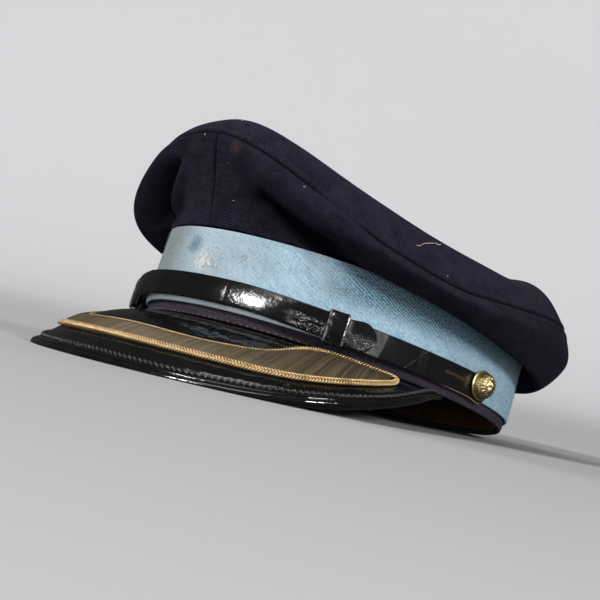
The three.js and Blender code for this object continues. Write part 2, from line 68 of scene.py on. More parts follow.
def oval(theta, out, up):
    """Points of the head oval: an ellipse at an angle from the front, moved out along its normal in
    plan by out less LEAN times the height, and up from the rim."""
    theta, out, up = np.broadcast_arrays(theta, out, up)
    across, fore = np.sin(theta), -np.cos(theta)
    normal = np.stack([across / HALF_WIDTH, fore / HALF_LENGTH], -1)
    normal /= np.linalg.norm(normal, axis=-1, keepdims=True)
    plan = np.stack([HALF_WIDTH * across, HALF_LENGTH * fore], -1)
    plan = plan + normal * (out - LEAN * up)[..., None]
    return np.concatenate([plan, up[..., None]], -1)


def turned(points):
    """Points turned so that the plane under the peak's edge and the back of the rim is level: one plus
    the cross product with the turn's axis plus its square over one plus the cosine."""
    across, fore, up = np.array([PEAK_TWIST, -REST_DROP / REST_LENGTH, 1.0])
    length = np.linalg.norm([across, fore, up])
    cross = np.array([[0, 0, -across], [0, 0, -fore], [across, fore, 0]]) / length
    return points @ (np.eye(3) + cross + cross @ cross / (1 + up / length)).T


band_ring = turned(oval(np.radians(np.arange(0, 360, 5))[:, None], 0.0, np.array([BAND_LOW, BAND_HIGH])))
packed_band = 1000 * np.array(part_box("band"))
SHIFT = packed_band.mean(0) - (band_ring.min((0, 1)) + band_ring.max((0, 1))) / 2


def set_down(points):
    """Points of the cap's frame in millimetres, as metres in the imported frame."""
    return (turned(points) + SHIFT) / 1000


def settled(points):
    """Points lifted onto the resting surface where they would lie below it."""
    x, y, z = np.moveaxis(points, -1, 0)
    rest = REST_FLAT - PEAK_TWIST * x + REST_DROP / REST_LENGTH * (y - REST_BACK)
    return np.stack([x, y, np.maximum(z, rest)], -1)


def unit(vectors):
    """Vectors brought to length one."""
    return vectors / np.maximum(np.linalg.norm(vectors, axis=-1, keepdims=True), 1e-9)


def facing(theta, up=0.0):
    """Outward direction of the head oval at an angle from the front."""
    return unit(oval(theta, 1.0, up) - oval(theta, 0.0, up))


def full_turn(count):
    """Angles of a whole turn in count even steps."""
    return np.linspace(0, 2 * np.pi, count + 1)[:-1]


def wrapped(points, axis=0):
    """Points of a closed path with its last point repeated before them and its first one after them."""
    return np.concatenate([np.take(points, [-1], axis), points, np.take(points, [0], axis)], axis)


def normals(grid):
    """Unit normals of a grid of points: the cross product of its slopes along rows and columns."""
    return unit(np.cross(np.gradient(grid, axis=-3), np.gradient(grid, axis=-2)))


def bump(distance, width):
    """Bell-shaped weight that is one at a distance of zero."""
    return np.exp(-(distance / width) ** 2)


def ease(value, low, high):
    """Smooth step from zero at low to one at high."""
    share = np.clip((value - low) / (high - low), 0, 1)
    return share * share * (3 - 2 * share)


def rounded_wall(outer, wall, low, high, rows, arc=5):
    """Closed section of a wall as (out, up): up the outer face, half a turn over the edge, down the
    inner face and half a turn back."""
    radius = wall / 2
    face = np.linspace(low + radius, high - radius, rows)
    turn = np.linspace(0, np.pi, arc + 2)[1:-1]
    middle = np.full(rows, outer - radius)
    out = [middle + radius, outer - radius + radius * np.cos(turn), middle - radius]
    out.append(outer - radius - radius * np.cos(turn))
    up = [face, high - radius + radius * np.sin(turn), face[::-1], low + radius - radius * np.sin(turn)]
    return np.concatenate(out), np.concatenate(up)


def piece(name, grid, ring=False, tube=True, uv=None, marks=()):
    """Closed mesh from a grid of points in the cap's frame, or from a stack of such grids. Rows follow a
    path, which is a ring or is closed by strips at its ends, and columns go round a closed section
    or, where tube is false, from pole to pole. The UV map holds millimetres along the path and
    round the section unless it is given, and marks are named values for each point."""
    grid = grid if grid.ndim == 4 else grid[None]
    bodies, rows, columns = grid.shape[:3]
    row = np.arange(rows if ring else rows - 1)[:, None]
    column = np.arange(columns if tube else columns - 1)[None, :]
    closed = np.concatenate([grid, grid[:, :1]], 1) if ring else grid
    closed = np.concatenate([closed, closed[:, :, :1]], 2) if tube else closed
    if uv is None:
        along = np.cumsum(np.linalg.norm(np.diff(closed, axis=1), axis=-1).mean((0, 2)))
        around = np.cumsum(np.linalg.norm(np.diff(closed, axis=2), axis=-1).mean((0, 1)))
        uv = np.stack(np.meshgrid(np.append(0, along), np.append(0, around), indexing="ij"), -1)
    corners = [(row, column), (row + 1, column), (row + 1, column + 1), (row, column + 1)]
    places = [np.stack(np.broadcast_arrays(*corner), -1).reshape(-1, 2) for corner in corners]
    places = np.stack(places, 1)
    if not ring and tube:
        side = np.arange(columns // 2 - 1)
        strip = np.stack([side, side + 1, columns - 2 - side, columns - 1 - side], -1)
        start = np.stack([np.zeros_like(strip), strip], -1)
        end = np.stack([np.full_like(strip, rows - 1), strip], -1)[:, ::-1]
        places = np.concatenate([places, start, end])
    faces = (places[..., 0] % rows) * columns + places[..., 1] % columns
    shape = grid[0].reshape(-1, 3)[faces]
    volume = np.einsum("fi,fi->", shape[:, 0], np.cross(shape[:, 1] - shape[:, 3], shape[:, 2]))
    order = slice(None) if volume > 0 else slice(None, None, -1)
    faces, places = faces[:, order], places[:, order]
    count = rows * columns
    every = (np.arange(bodies)[:, None, None] * count + faces[None]).reshape(-1, 4)
    mesh = bpy.data.meshes.new(name)
    mesh.vertices.add(bodies * count)
    mesh.vertices.foreach_set("co", set_down(grid).ravel())
    mesh.loops.add(every.size)
    mesh.loops.foreach_set("vertex_index", every.ravel())
    mesh.polygons.add(len(every))
    mesh.polygons.foreach_set("loop_start", np.arange(0, every.size, 4))
    mesh.polygons.foreach_set("use_smooth", np.ones(len(every), bool))
    layer = mesh.uv_layers.new(name="UVMap")
    layer.data.foreach_set("uv", np.tile(uv[places[..., 0], places[..., 1]].ravel(), bodies))
    for title, values in dict(marks).items():
        attribute = mesh.attributes.new(title, "FLOAT", "POINT")
        attribute.data.foreach_set("value", np.broadcast_to(values, grid.shape[:3]).ravel())
    mesh.update(calc_edges=True)
    if not tube:
        body = bmesh.new()
        body.from_mesh(mesh)
        bmesh.ops.remove_doubles(body, verts=body.verts, dist=1e-7)
        body.to_mesh(mesh)
        body.free()
    made = bpy.data.objects.new(name, mesh)
    bpy.context.collection.objects.link(made)
    return made


def fit(made, material, slot, *nodes):
    """Gives a piece its material, lets it ride on the cap and stand for the nodes that are named."""
    made.data.materials.append(material)
    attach(made, "root")
    if nodes:
        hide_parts(*nodes)


def tubes(paths, radius, sides, lift):
    """Round sections about paths of points: each turns about the path's own direction, from the
    direction square to it and to lift. The radius is one number or one for each point."""
    along = unit(np.gradient(paths, axis=-2))
    sideways = unit(np.cross(along, np.broadcast_to(lift, paths.shape)))
    upwards = np.cross(sideways, along)
    turn = 2 * np.pi * np.arange(sides)[:, None] / sides
    round_off = np.cos(turn) * sideways[..., None, :] + np.sin(turn) * upwards[..., None, :]
    return paths[..., None, :] + np.broadcast_to(radius, paths.shape[:-1])[..., None, None] * round_off


def stitches(name, starts, ends, lift, height, radius):
    """Row of stitches: each is a short thread from start to end that rises along lift by a half sine and
    sinks in at its ends."""
    share = np.linspace(0, 1, 6)[:, None]
    paths = starts[:, None] * (1 - share) + ends[:, None] * share
    paths = paths + lift[:, None] * height * (np.sin(np.pi * share) - 0.35)
    thin = radius * (0.55 + 0.45 * np.sin(np.pi * share[:, 0]))
    return piece(name, tubes(paths, thin, 6, lift[:, None]))


def fill(tree, made, inputs):
    """Sets the named or numbered inputs of a node to values, or links them to sockets."""
    for key, value in inputs.items():
        if isinstance(value, bpy.types.NodeSocket):
            tree.links.new(value, made.inputs[key])
        else:
            made.inputs[key].default_value = value
    return made


def node(tree, kind, inputs, **settings):
    """New shader node with its settings and inputs."""
    made = tree.nodes.new("ShaderNode" + kind)
    for key, value in settings.items():
        setattr(made, key, value)
    return fill(tree, made, inputs)


def maths(tree, operation, *values):
    """Result of one sum on sockets or numbers."""
    return node(tree, "Math", dict(enumerate(values)), operation=operation).outputs[0]


def times(tree, first, second, plus=0.0):
    """Product of two sockets or numbers, with a third one added."""
    return maths(tree, "MULTIPLY_ADD", first, second, plus)


def blend(tree, share, first, second):
    """Colour between two colours or sockets."""
    return node(tree, "Mix", {0: share, 6: first, 7: second}, data_type="RGBA").outputs[2]


def tinted(tree, colour, *layers):
    """Colour brought in turn towards others, each by a mask times a strength."""
    for mask, strength, target in layers:
        colour = blend(tree, times(tree, mask, strength), colour, target)
    return colour


def span(tree, value, low, high, start=0.0, end=1.0):
    """A value brought smoothly from the range low to high to the range start to end."""
    inputs = {"Value": value, "From Min": low, "From Max": high, "To Min": start, "To Max": end}
    return node(tree, "MapRange", inputs, interpolation_type="SMOOTHSTEP").outputs["Result"]


def window(tree, value, rise, fall):
    """Mask that rises over one range of a value and falls over a later one."""
    return times(tree, span(tree, value, *rise), span(tree, value, *fall, 1.0, 0.0))


def noise(tree, place, scale, detail=3.0, roughness=0.55, distortion=0.0):
    """Clouded value between about 0.3 and 0.7 at a place."""
    inputs = {"Vector": place, "Scale": scale, "Detail": detail, "Roughness": roughness}
    inputs["Distortion"] = distortion
    return node(tree, "TexNoise", inputs).outputs[0]


def relief(tree, height, depth, strength=1.0, normal=None):
    """Normal of a surface with that height, in metres of depth, over another relief."""
    inputs = {"Height": height, "Distance": depth, "Strength": strength}
    if normal is not None:
        inputs["Normal"] = normal
    return node(tree, "Bump", inputs).outputs[0]


def millimetres(tree):
    """Object coordinates in millimetres."""
    place = node(tree, "TexCoord", {}).outputs["Object"]
    return node(tree, "VectorMath", {0: place, "Scale": 1000.0}, operation="SCALE").outputs[0]


def cloth_place(tree):
    """Millimetres along and across a piece of cloth or leather, from its UV map."""
    return node(tree, "TexCoord", {}).outputs["UV"]


def mark(tree, title):
    """Named value of the mesh."""
    return node(tree, "Attribute", {}, attribute_name=title).outputs["Fac"]


def spot(tree, centre, near, far):
    """Mask about a point of the cap's frame: one within near and nothing beyond far, in millimetres."""
    centre = tuple(1000 * set_down(np.array(centre, float)))
    place = millimetres(tree)
    distance = node(tree, "VectorMath", {0: place, 1: centre}, operation="DISTANCE").outputs["Value"]
    ragged = times(tree, noise(tree, place, 0.5), far, distance)
    return span(tree, ragged, near + far / 2, 1.5 * far, 1.0, 0.0)


def finish(name, **sockets):
    """New material, its node tree and its shader with the sockets that are the same all over."""
    made = bpy.data.materials.new(name)
    made.use_nodes = True
    shader = made.node_tree.nodes["Principled BSDF"]
    for title, value in sockets.items():
        shader.inputs[title.replace("_", " ")].default_value = value
    return made, made.node_tree, shader


def effect(name, outputs, **numbers):
    """New shader node group: its tree, the sockets that it is given, which are a place in millimetres and
    named numbers, and the node that takes what it puts out."""
    tree = bpy.data.node_groups.new(name, "ShaderNodeTree")
    tree.interface.new_socket("Place", in_out="INPUT", socket_type="NodeSocketVector")
    for title, value in numbers.items():
        socket = tree.interface.new_socket(title, in_out="INPUT", socket_type="NodeSocketFloat")
        socket.default_value = value
    for title in outputs:
        tree.interface.new_socket(title, in_out="OUTPUT", socket_type="NodeSocketFloat")
    given = tree.nodes.new("NodeGroupInput").outputs
    return tree, given, tree.nodes.new("NodeGroupOutput")


def use(tree, group, **inputs):
    """Outputs of a group placed in a material with its own values."""
    made = tree.nodes.new("ShaderNodeGroup")
    made.node_tree = group
    return fill(tree, made, inputs).outputs


# Twill: slanted ridges of yarn, each broken into floats that step along from ridge to ridge
TWILL, given, result = effect("Twill weave", ["Height", "Shade"], Pitch=1.0, Slant=0.0, Wander=0.8)
wavy = node(TWILL, "TexNoise", {"Vector": given["Place"], "Scale": 0.12, "Detail": 3.0}).outputs[1]
wavy = node(TWILL, "VectorMath", {0: wavy, 1: (0.5, 0.5, 0.5)}, operation="SUBTRACT").outputs[0]
wavy = node(TWILL, "VectorMath", {0: wavy, "Scale": given["Wander"]}, operation="SCALE").outputs[0]
wavy = node(TWILL, "VectorMath", {0: wavy, 1: given["Place"]}, operation="ADD").outputs[0]
slanted = node(TWILL, "VectorRotate", {"Vector": wavy, "Angle": given["Slant"]}, rotation_type="Z_AXIS")
split = node(TWILL, "SeparateXYZ", {0: slanted.outputs[0]}).outputs
ridge = maths(TWILL, "DIVIDE", split[1], given["Pitch"])
ridge_number = maths(TWILL, "FLOOR", ridge)
ridge_height = maths(TWILL, "SINE", times(TWILL, ridge, 2 * np.pi))
ridge_height = times(TWILL, ridge_height, 0.5, 0.5)
yarn = times(TWILL, maths(TWILL, "DIVIDE", split[0], given["Pitch"]), 0.55)
yarn = times(TWILL, ridge_number, 0.37, yarn)
yarn_height = maths(TWILL, "SINE", times(TWILL, yarn, 2 * np.pi))
yarn_height = times(TWILL, yarn_height, 0.2, 0.8)
fill(TWILL, result, {"Height": times(TWILL, ridge_height, yarn_height)})
yarn_place = node(TWILL, "CombineXYZ", {0: times(TWILL, yarn, 0.13), 1: ridge_number}).outputs[0]
fill(TWILL, result, {"Shade": noise(TWILL, yarn_place, 1.7, 2.0)})

# Nap: the fuzz of wool, as fine tangled fibres and the clumps that they mat into
NAP, given, result = effect("Wool nap", ["Fibre", "Clump"], Size=0.5)
fine = maths(NAP, "DIVIDE", 1.0, given["Size"])
fill(NAP, result, {"Fibre": noise(NAP, given["Place"], fine, 4.0, 0.75, 1.5)})
coarse = times(NAP, fine, 0.12)
fill(NAP, result, {"Clump": noise(NAP, given["Place"], coarse, 4.0, 0.6, 0.4)})

# Lint: pale specks that cling to a share of evenly strewn places
LINT, given, result = effect("Lint", ["Mask"], Spacing=8.0, Share=0.3, Size=0.4)
closeness = maths(LINT, "DIVIDE", 1.0, given["Spacing"])
strewn = node(LINT, "TexVoronoi", {"Vector": given["Place"], "Scale": closeness})
away = times(LINT, strewn.outputs["Distance"], given["Spacing"])
chosen = node(LINT, "SeparateXYZ", {0: strewn.outputs["Color"]}).outputs[0]
chosen = maths(LINT, "LESS_THAN", chosen, given["Share"])
speck = node(LINT, "MapRange", {0: away, 1: given["Size"], 2: 0.0}).outputs[0]
fill(LINT, result, {"Mask": times(LINT, speck, chosen)})


def wool(name, deep, light, pitch, slant, depth, fuzz, lint_share, ribbed=0.45, clumped=0.9, nap_size=0.45):
    """Woollen twill: yarns of two tones in slanted ridges under a nap of fibres, with specks of lint."""
    made, tree, shader = finish(name, Roughness=0.95, Specular_IOR_Level=0.06, Sheen_Weight=0.02)
    fill(tree, shader, {"Sheen Roughness": 0.5, "Sheen Tint": SHEEN_BLUE})
    weave = use(tree, TWILL, Place=cloth_place(tree), Pitch=pitch, Slant=slant)
    nap = use(tree, NAP, Place=millimetres(tree), Size=nap_size)
    tone = times(tree, weave["Shade"], 0.5, 0.45 - ribbed)
    tone = times(tree, weave["Height"], ribbed, tone)
    tone = times(tree, maths(tree, "SUBTRACT", nap["Clump"], 0.5), clumped, tone)
    tone = times(tree, maths(tree, "SUBTRACT", nap["Fibre"], 0.5), fuzz, tone)
    colour = blend(tree, span(tree, tone, 0.0, 0.95), deep, light)
    lint = use(tree, LINT, Place=millimetres(tree), Spacing=7.0, Share=lint_share, Size=0.35)["Mask"]
    colour = tinted(tree, colour, (lint, 0.55, LINT_GREY))
    height = times(tree, weave["Height"], 2 * ribbed)
    height = times(tree, nap["Fibre"], fuzz, height)
    fill(tree, shader, {"Base Color": colour, "Normal": relief(tree, height, depth)})
    return made, tree, shader, colour


base_angles = full_turn(360)
base_out, base_up = rounded_wall(BASE_OUT, BASE_WALL, 0.0, BASE_HEIGHT, rows=24)
base_wave = 0.12 * np.sin(23 * base_angles)[:, None] * bump(base_up - 2.5, 2.5)
base_grid = settled(oval(base_angles[:, None], base_out + base_wave, base_up))
base_ring = piece("base_ring", base_grid, ring=True)
base_wool = wool(
    "faded_wool", FADED_NAVY, FADED_PURPLE, pitch=0.9, slant=0.5, depth=0.00012, fuzz=0.9,
    lint_share=0.25,
)[0]
fit(base_ring, base_wool, "base_wool", "band_base")

quilt_angles = np.radians(np.arange(-178.5, 180, 2.2))
quilt_up = 2.6 + 0.25 * np.sin(9 * quilt_angles)
quilt_starts = oval(quilt_angles, BASE_OUT + 0.15, quilt_up)
quilt_ends = oval(quilt_angles + np.radians(1.3), BASE_OUT + 0.15, quilt_up + 0.12)
quilt_lift = facing(quilt_angles)
quilting = stitches("base_quilting", quilt_starts, quilt_ends, quilt_lift, height=0.18, radius=0.22)


def twist(tree, scale):
    """Slanting ridges of a twisted yarn, along its UV map."""
    inputs = {"Vector": cloth_place(tree), "Scale": scale}
    return node(tree, "TexWave", inputs, bands_direction="DIAGONAL").outputs["Fac"]


def thread(name, colour, roughness=0.8):
    """Sewing thread: a twisted yarn whose tone changes along its length."""
    made, tree, shader = finish(name, Roughness=roughness)
    shade = noise(tree, millimetres(tree), 0.8, 3.0)
    dark = tuple(0.45 * part for part in colour[:3]) + (1.0,)
    fill(tree, shader, {"Base Color": blend(tree, span(tree, shade, 0.35, 0.65), dark, colour)})
    fill(tree, shader, {"Normal": relief(tree, twist(tree, 1.6), 0.0001)})
    return made


fit(quilting, thread("red_thread", RED_THREAD), "base_wool")


# Sweatband: a strip of brown leather inside the base ring, darkened by wear and sewn along its
# lower edge with reddish thread.
SWEAT_OUT = -4.3
SWEAT_WALL = 1.2
SWEAT_LOW = 2.5
SWEAT_HIGH = 40.0
DARK_HIDE = (0.022, 0.010, 0.006, 1.0)
BROWN_HIDE = (0.115, 0.047, 0.022, 1.0)

sweat_out, sweat_up = rounded_wall(SWEAT_OUT, SWEAT_WALL, SWEAT_LOW, SWEAT_HIGH, rows=20)
sweat_wave = 0.25 * np.sin(11 * base_angles + 1.0)[:, None] * ease(sweat_up, 14, 36)
sweat_grid = settled(oval(base_angles[:, None], sweat_out + sweat_wave, sweat_up))
sweatband = piece("sweatband_leather", sweat_grid, ring=True)

# Grain: the small cells and creases of leather
GRAIN, given, result = effect("Leather grain", ["Height", "Stain"], Size=1.0)
cells = maths(GRAIN, "DIVIDE", 1.0, given["Size"])
warped = node(GRAIN, "TexNoise", {"Vector": given["Place"], "Scale": 0.6}).outputs[1]
warped = node(GRAIN, "VectorMath", {0: warped, 1: given["Place"]}, operation="ADD").outputs[0]
cell = node(GRAIN, "TexVoronoi", {"Vector": warped, "Scale": cells}, feature="DISTANCE_TO_EDGE")
fill(GRAIN, result, {"Height": span(GRAIN, cell.outputs["Distance"], 0.0, 0.25)})
fill(GRAIN, result, {"Stain": noise(GRAIN, given["Place"], 0.06, 5.0, 0.6)})

hide, tree, shader = finish("brown_hide", Roughness=0.55)
grain = use(tree, GRAIN, Place=cloth_place(tree), Size=0.9)
colour = blend(tree, span(tree, grain["Stain"], 0.35, 0.65), DARK_HIDE, BROWN_HIDE)
fill(tree, shader, {"Base Color": colour, "Roughness": span(tree, grain["Stain"], 0.3, 0.7, 0.45, 0.7)})
fill(tree, shader, {"Normal": relief(tree, grain["Height"], 0.00008)})
fit(sweatband, hide, "sweat_leather", "sweatband")

seam_angles = np.radians(np.arange(-179, 180, 2.0))
seam_up = SWEAT_LOW + 2.2
seam_starts = settled(oval(seam_angles, SWEAT_OUT - SWEAT_WALL, seam_up))
seam_ends = settled(oval(seam_angles + np.radians(1.25), SWEAT_OUT - SWEAT_WALL, seam_up))
seam_lift = -facing(seam_angles)
sweat_seam = stitches("sweatband_stitching", seam_starts, seam_ends, seam_lift, height=0.2, radius=0.25)
fit(sweat_seam, bpy.data.materials["red_thread"], "sweat_leather")


# Band: a strip of pale blue napped wool wrapped round the base ring and sewn to it at the back. It is
# faded, scuffed and spotted with dried glue in front, and painted shade and soil make it darker towards
# the wearer's right. Painted light lightens it below the strap and painted shadow darkens it under the
# crown's overhang, and it carries loose fibres and a small sewn eyelet.
BAND_WALL = 1.5
DEEP_BLUE = (0.110, 0.187, 0.246, 1.0)
PALE_BLUE = (0.294, 0.410, 0.488, 1.0)
FADED_BLUE = (0.240, 0.280, 0.288, 1.0)
GROOVE_SHADE_BLUE = (0.024, 0.044, 0.050, 1.0)
PAINTED_LIT_BLUE = (0.720, 0.790, 0.830, 1.0)
GLUE_WHITE = (0.430, 0.430, 0.400, 1.0)
GLUE_BROWN = (0.150, 0.115, 0.085, 1.0)
SOIL_AND_SHADE = (0.100, 0.100, 0.085, 1.0)
GLUE_SPOT = (2.0, 26.0, 2.0, 7.0)  # degrees from the front, height, and the reach of its core and edge
SCUFF_SPOT = (-4.0, 34.0, 1.0, 6.5)
EYELET_ANGLE = np.radians(18.0)
EYELET_UP = 31.6
EYELET_RADIUS = 1.25
FIBRE_WHITE = (0.90, 0.90, 0.88, 1.0)
EYELET_BLUE = (0.30, 0.37, 0.40, 1.0)

band_angles = np.linspace(-np.pi, np.pi, 721)[:-1]
band_out, band_up = rounded_wall(0.0, BAND_WALL, BAND_LOW, BAND_HIGH, rows=26)
band_wave = 0.10 * np.sin(17 * band_angles)[:, None] * np.sin(band_up / 9)
band_wave = band_wave + 0.08 * np.sin(41 * band_angles + 0.7)[:, None] * np.sin(band_up / 4 + 1)
band_back = -0.7 * bump(np.abs(band_angles) - np.pi, 0.008)[:, None]
band_grid = oval(band_angles[:, None], band_out + (band_wave + band_back) * (band_out > -0.5), band_up)
band_degrees = np.degrees(band_angles)[:, None]
# Painted shadow: at the sides the band is darkened, and its twill grooves too, below the crown's overhang
# where the overhang's shadow falls.
under_crown = ease(np.abs(band_degrees), 38, 56) * (1 - ease(np.abs(band_degrees), 100, 135))
band_marks = {
    "faded": bump(band_degrees - 2, 26),
    # Painted shade and soil: darker and greyer from the front corner towards the back at the wearer's right.
    "painted_shade_and_soil": ease(band_degrees, -150, -80) * (1 - ease(band_degrees, -20, 2)),
    "painted_shadow_and_scuff": under_crown * ease(band_up, 20.5, 31.5),
    # Painted light: just below the strap in front the band is lightened, where the strap's shadow falls.
    "painted_light_below_strap": (1 - ease(band_up, 7.5, 10)) * (1 - ease(np.abs(band_degrees), 36, 52)),
}
band = piece("band_cloth", band_grid, ring=True, marks=band_marks)

blue_wool, tree, shader, colour = wool(
    "blue_wool", DEEP_BLUE, PALE_BLUE, pitch=1.7, slant=0.5, depth=0.00018, fuzz=3.2,
    lint_share=0.3, ribbed=0.16, clumped=0.3, nap_size=0.9,
)
# Painted shade in the twill grooves, laid over the painted shadow and over the scuff.
twill = use(tree, TWILL, Place=cloth_place(tree), Pitch=1.3, Slant=0.5, Wander=2.2)["Height"]
stippled = maths(tree, "SUBTRACT", noise(tree, cloth_place(tree), 0.9, 3.0), 0.5)
shaded_grooves = span(tree, times(tree, stippled, 3.2, twill), 0.12, 0.65, 1.0, 0.0)
scuffed, glued = (
    spot(tree, oval(np.radians(angle), 0.0, up), near, far)
    for angle, up, near, far in (SCUFF_SPOT, GLUE_SPOT)
)
# The painted shadow joined with the real scuff, which is darkened the same way.
painted_shadow_and_scuff = maths(tree, "MAXIMUM", mark(tree, "painted_shadow_and_scuff"), times(tree, scuffed, 0.8))
dirty = span(tree, noise(tree, millimetres(tree), 0.6, 4.0), 0.5, 0.66)
soiled = span(tree, noise(tree, millimetres(tree), 0.03, 4.0), 0.5, 0.75)
colour = tinted(
    tree, colour,
    (mark(tree, "faded"), 0.62, FADED_BLUE),
    (painted_shadow_and_scuff, 0.85, DEEP_BLUE),
    (times(tree, shaded_grooves, painted_shadow_and_scuff), 0.85, GROOVE_SHADE_BLUE),
    (mark(tree, "painted_shade_and_soil"), 0.75, SOIL_AND_SHADE),
    (mark(tree, "painted_light_below_strap"), 0.8, PAINTED_LIT_BLUE),
    (glued, 0.75, blend(tree, dirty, GLUE_WHITE, GLUE_BROWN)),
    (soiled, 0.35, SOIL_AND_SHADE),
)
fill(tree, shader, {"Base Color": colour})
fit(band, blue_wool, "blue_wool", "band")


def band_threads(name, places, reach, bow, rise, radius, seed):
    """Loose threads on the band: each is an arc from its place (degrees from the front, height and
    direction) that reaches so many degrees, bends aside and stands off the cloth by a half sine."""
    draw = np.random.default_rng(seed)
    share = np.linspace(0, 1, 6)
    bend = draw.normal(0, bow, (len(places), 2, 1)) * np.sin(np.pi * share)
    theta = np.radians(places[:, :1] + reach * (np.cos(places[:, 2:]) * share + bend[:, 0]))
    up = places[:, 1:2] + 1.7 * reach * (np.sin(places[:, 2:]) * share + bend[:, 1])
    paths = oval(theta, 0.1 + rise * np.sin(np.pi * share), up)
    return piece(name, tubes(paths, radius, 4, facing(theta, up)))


draw = np.random.default_rng(4)
fibre_places = draw.uniform([0, 20.5, -3], [11, 35, 3], (12, 3))
pale_fibres = band_threads("band_fibres", fibre_places, reach=1.7, bow=0.15, rise=0.5, radius=0.09, seed=6)
fit(pale_fibres, thread("pale_fibre", FIBRE_WHITE, 0.3), "blue_wool")
fuzz_places = draw.uniform([-180, 7, -3.1], [180, 42, 3.1], (1700, 3))
band_fuzz = band_threads("band_fuzz", fuzz_places, reach=0.8, bow=0.35, rise=0.45, radius=0.035, seed=7)
fit(band_fuzz, thread("blue_fibre", PALE_BLUE), "blue_wool")

eyelet_turn = full_turn(24)
eyelet_theta = EYELET_ANGLE + EYELET_RADIUS * np.cos(eyelet_turn) / HALF_LENGTH
eyelet_path = wrapped(oval(eyelet_theta, 0.15, EYELET_UP + EYELET_RADIUS * np.sin(eyelet_turn)))
eyelet_grid = tubes(eyelet_path, radius=0.24, sides=8, lift=facing(eyelet_theta).mean(0))[1:-1]
eyelet = piece("band_eyelet", eyelet_grid, ring=True)
fit(eyelet, thread("pale_eyelet", EYELET_BLUE, 0.5), "blue_wool")


# Crown sides: two lengths of navy wool twill joined at the front and the back. They rise stiffly at
# the front, fold in at the two corners of the front panel and bulge over the band elsewhere.
CROWN_WALL = 2.0
CROWN_START = 43.6
DEEP_NAVY = (0.0016, 0.0015, 0.0040, 1.0)
LIGHT_NAVY = (0.0124, 0.0116, 0.0215, 1.0)
FADED_BROWN = (0.050, 0.032, 0.024, 1.0)
CREASE_SHADE_BLACK = (0.0008, 0.0007, 0.0012, 1.0)
WORN_PLACE = (14, -114, 80)
CROWN_TABLE = np.array([
    # angle, then out and up of the hollow, the underside, the widest place and the top seam
    [0, 4, 57, 8.5, 70, 13, 80, 14, 86],
    [14, 3, 57, 8, 68, 14.5, 77, 15, 82],
    [28, -1.5, 52, 6, 58, 19, 67, 17.5, 73],
    [45, 2, 46, 10, 46, 24, 53, 20.5, 59],
    [60, 5, 42.5, 12, 39.5, 26, 45, 21.5, 50.5],
    [75, 5.5, 41, 13, 36, 26, 41, 22, 46.3],
    [90, 5.5, 39.5, 13, 33, 26, 41, 21.5, 49],
    [110, 4.5, 37.5, 12, 29, 24, 42, 19, 54],
    [135, 4, 36.5, 11, 27, 22, 42, 17, 57],
    [180, 3.8, 36, 10, 26.5, 21, 42, 16, 58],
])
CORNER_RISE = 4.5
CORNER_ANGLE = -24.0
CORNER_SPREAD = 15.0
FAR_FOLD_ANGLE = -20.0  # angle of the fold at the wearer's right at its top, and its slant
FAR_FOLD_TOP = 70.0
FAR_FOLD_SLANT = 0.80
FOLD_TABLE = np.array([
    # angle of the fold at the wearer's left and its height
    [12.0, 62.5],
    [20.0, 57.0],
    [28.0, 51.0],
    [36.0, 46.5],
    [46.0, 42.0],
])


def smooth_table(table, at):
    """Cubic curves through the columns of a table against its first column: between two rows a column
    follows the Hermite cubic whose slopes are the mean of the straight slopes on either side."""
    keys, values = table[:, 0], table[:, 1:]
    straight = np.diff(values, axis=0) / np.diff(keys)[:, None]
    slope = np.concatenate([straight[:1], (straight[1:] + straight[:-1]) / 2, straight[-1:]])
    at = np.clip(at, keys[0], keys[-1])
    left = np.clip(np.searchsorted(keys, at, side="right") - 1, 0, len(keys) - 2)
    width = (keys[left + 1] - keys[left])[..., None]
    share = (at - keys[left])[..., None] / width
    ends = (1 + 2 * share) * (1 - share) ** 2 * values[left]
    ends = ends + share ** 2 * (3 - 2 * share) * values[left + 1]
    slopes = (1 - share) * slope[left] - share * slope[left + 1]
    return ends + width * share * (1 - share) * slopes


def mirrored(table, centre):
    """The rows of a table followed back the other way from a centre."""
    return np.concatenate([2 * centre - table[::-1, :1], table[::-1, 1:]], 1)


def spline(control, share):
    """Points of the Catmull-Rom curve through control points, at shares of the way along it."""
    last = control.shape[-2] - 1
    first = np.minimum((share * last).astype(int), last - 1)
    step = (share * last - first)[:, None]
    before, start, end, after = (control[..., np.clip(first + k, 0, last), :] for k in (-1, 0, 1, 2))
    leave, reach = (end - before) / 2, (after - start) / 2
    cubic = (2 * start - 2 * end + leave + reach) * step ** 3
    return cubic + (3 * end - 3 * start - 2 * leave - reach) * step ** 2 + leave * step + start


CROWN_SECTIONS = np.concatenate([
    mirrored(CROWN_TABLE[1:], 0), CROWN_TABLE, mirrored(CROWN_TABLE[:-1], 180),
])


def crown_side(theta, share):
    """Outside of the crown's side: at each angle, the curve through the points of its section, whose
    upper two stand higher about the front corner at the wearer's right."""
    section = smooth_table(CROWN_SECTIONS, np.abs(np.degrees(theta)))
    section[:, [5, 7]] += CORNER_RISE * bump(np.degrees(theta) - CORNER_ANGLE, CORNER_SPREAD)[:, None]
    start = np.broadcast_to([0.0, CROWN_START], section.shape[:-1] + (2,))
    control = np.concatenate([start, section], -1).reshape(section.shape[:-1] + (5, 2))
    profile = spline(control, share)
    return oval(theta[:, None], profile[..., 0], profile[..., 1])


def crease(offset, steep, wide):
    """Weight of a fold across it: a bell that is steep on the side of its lip and wide on the other."""
    return np.where(offset > 0, bump(offset, steep), bump(offset, wide))


def cloth_swell(x, y, z):
    """Soft unevenness of a stuffed cloth: a few crossing waves of 30 to 90 mm."""
    waves = np.sin(x / 9 + 0.6 * np.sin(y / 21)) * np.sin(z / 7 + y / 17)
    return 0.35 * waves + 0.45 * np.sin(y / 15 + x / 29 + 1.3) * np.sin(z / 12 + 0.4)


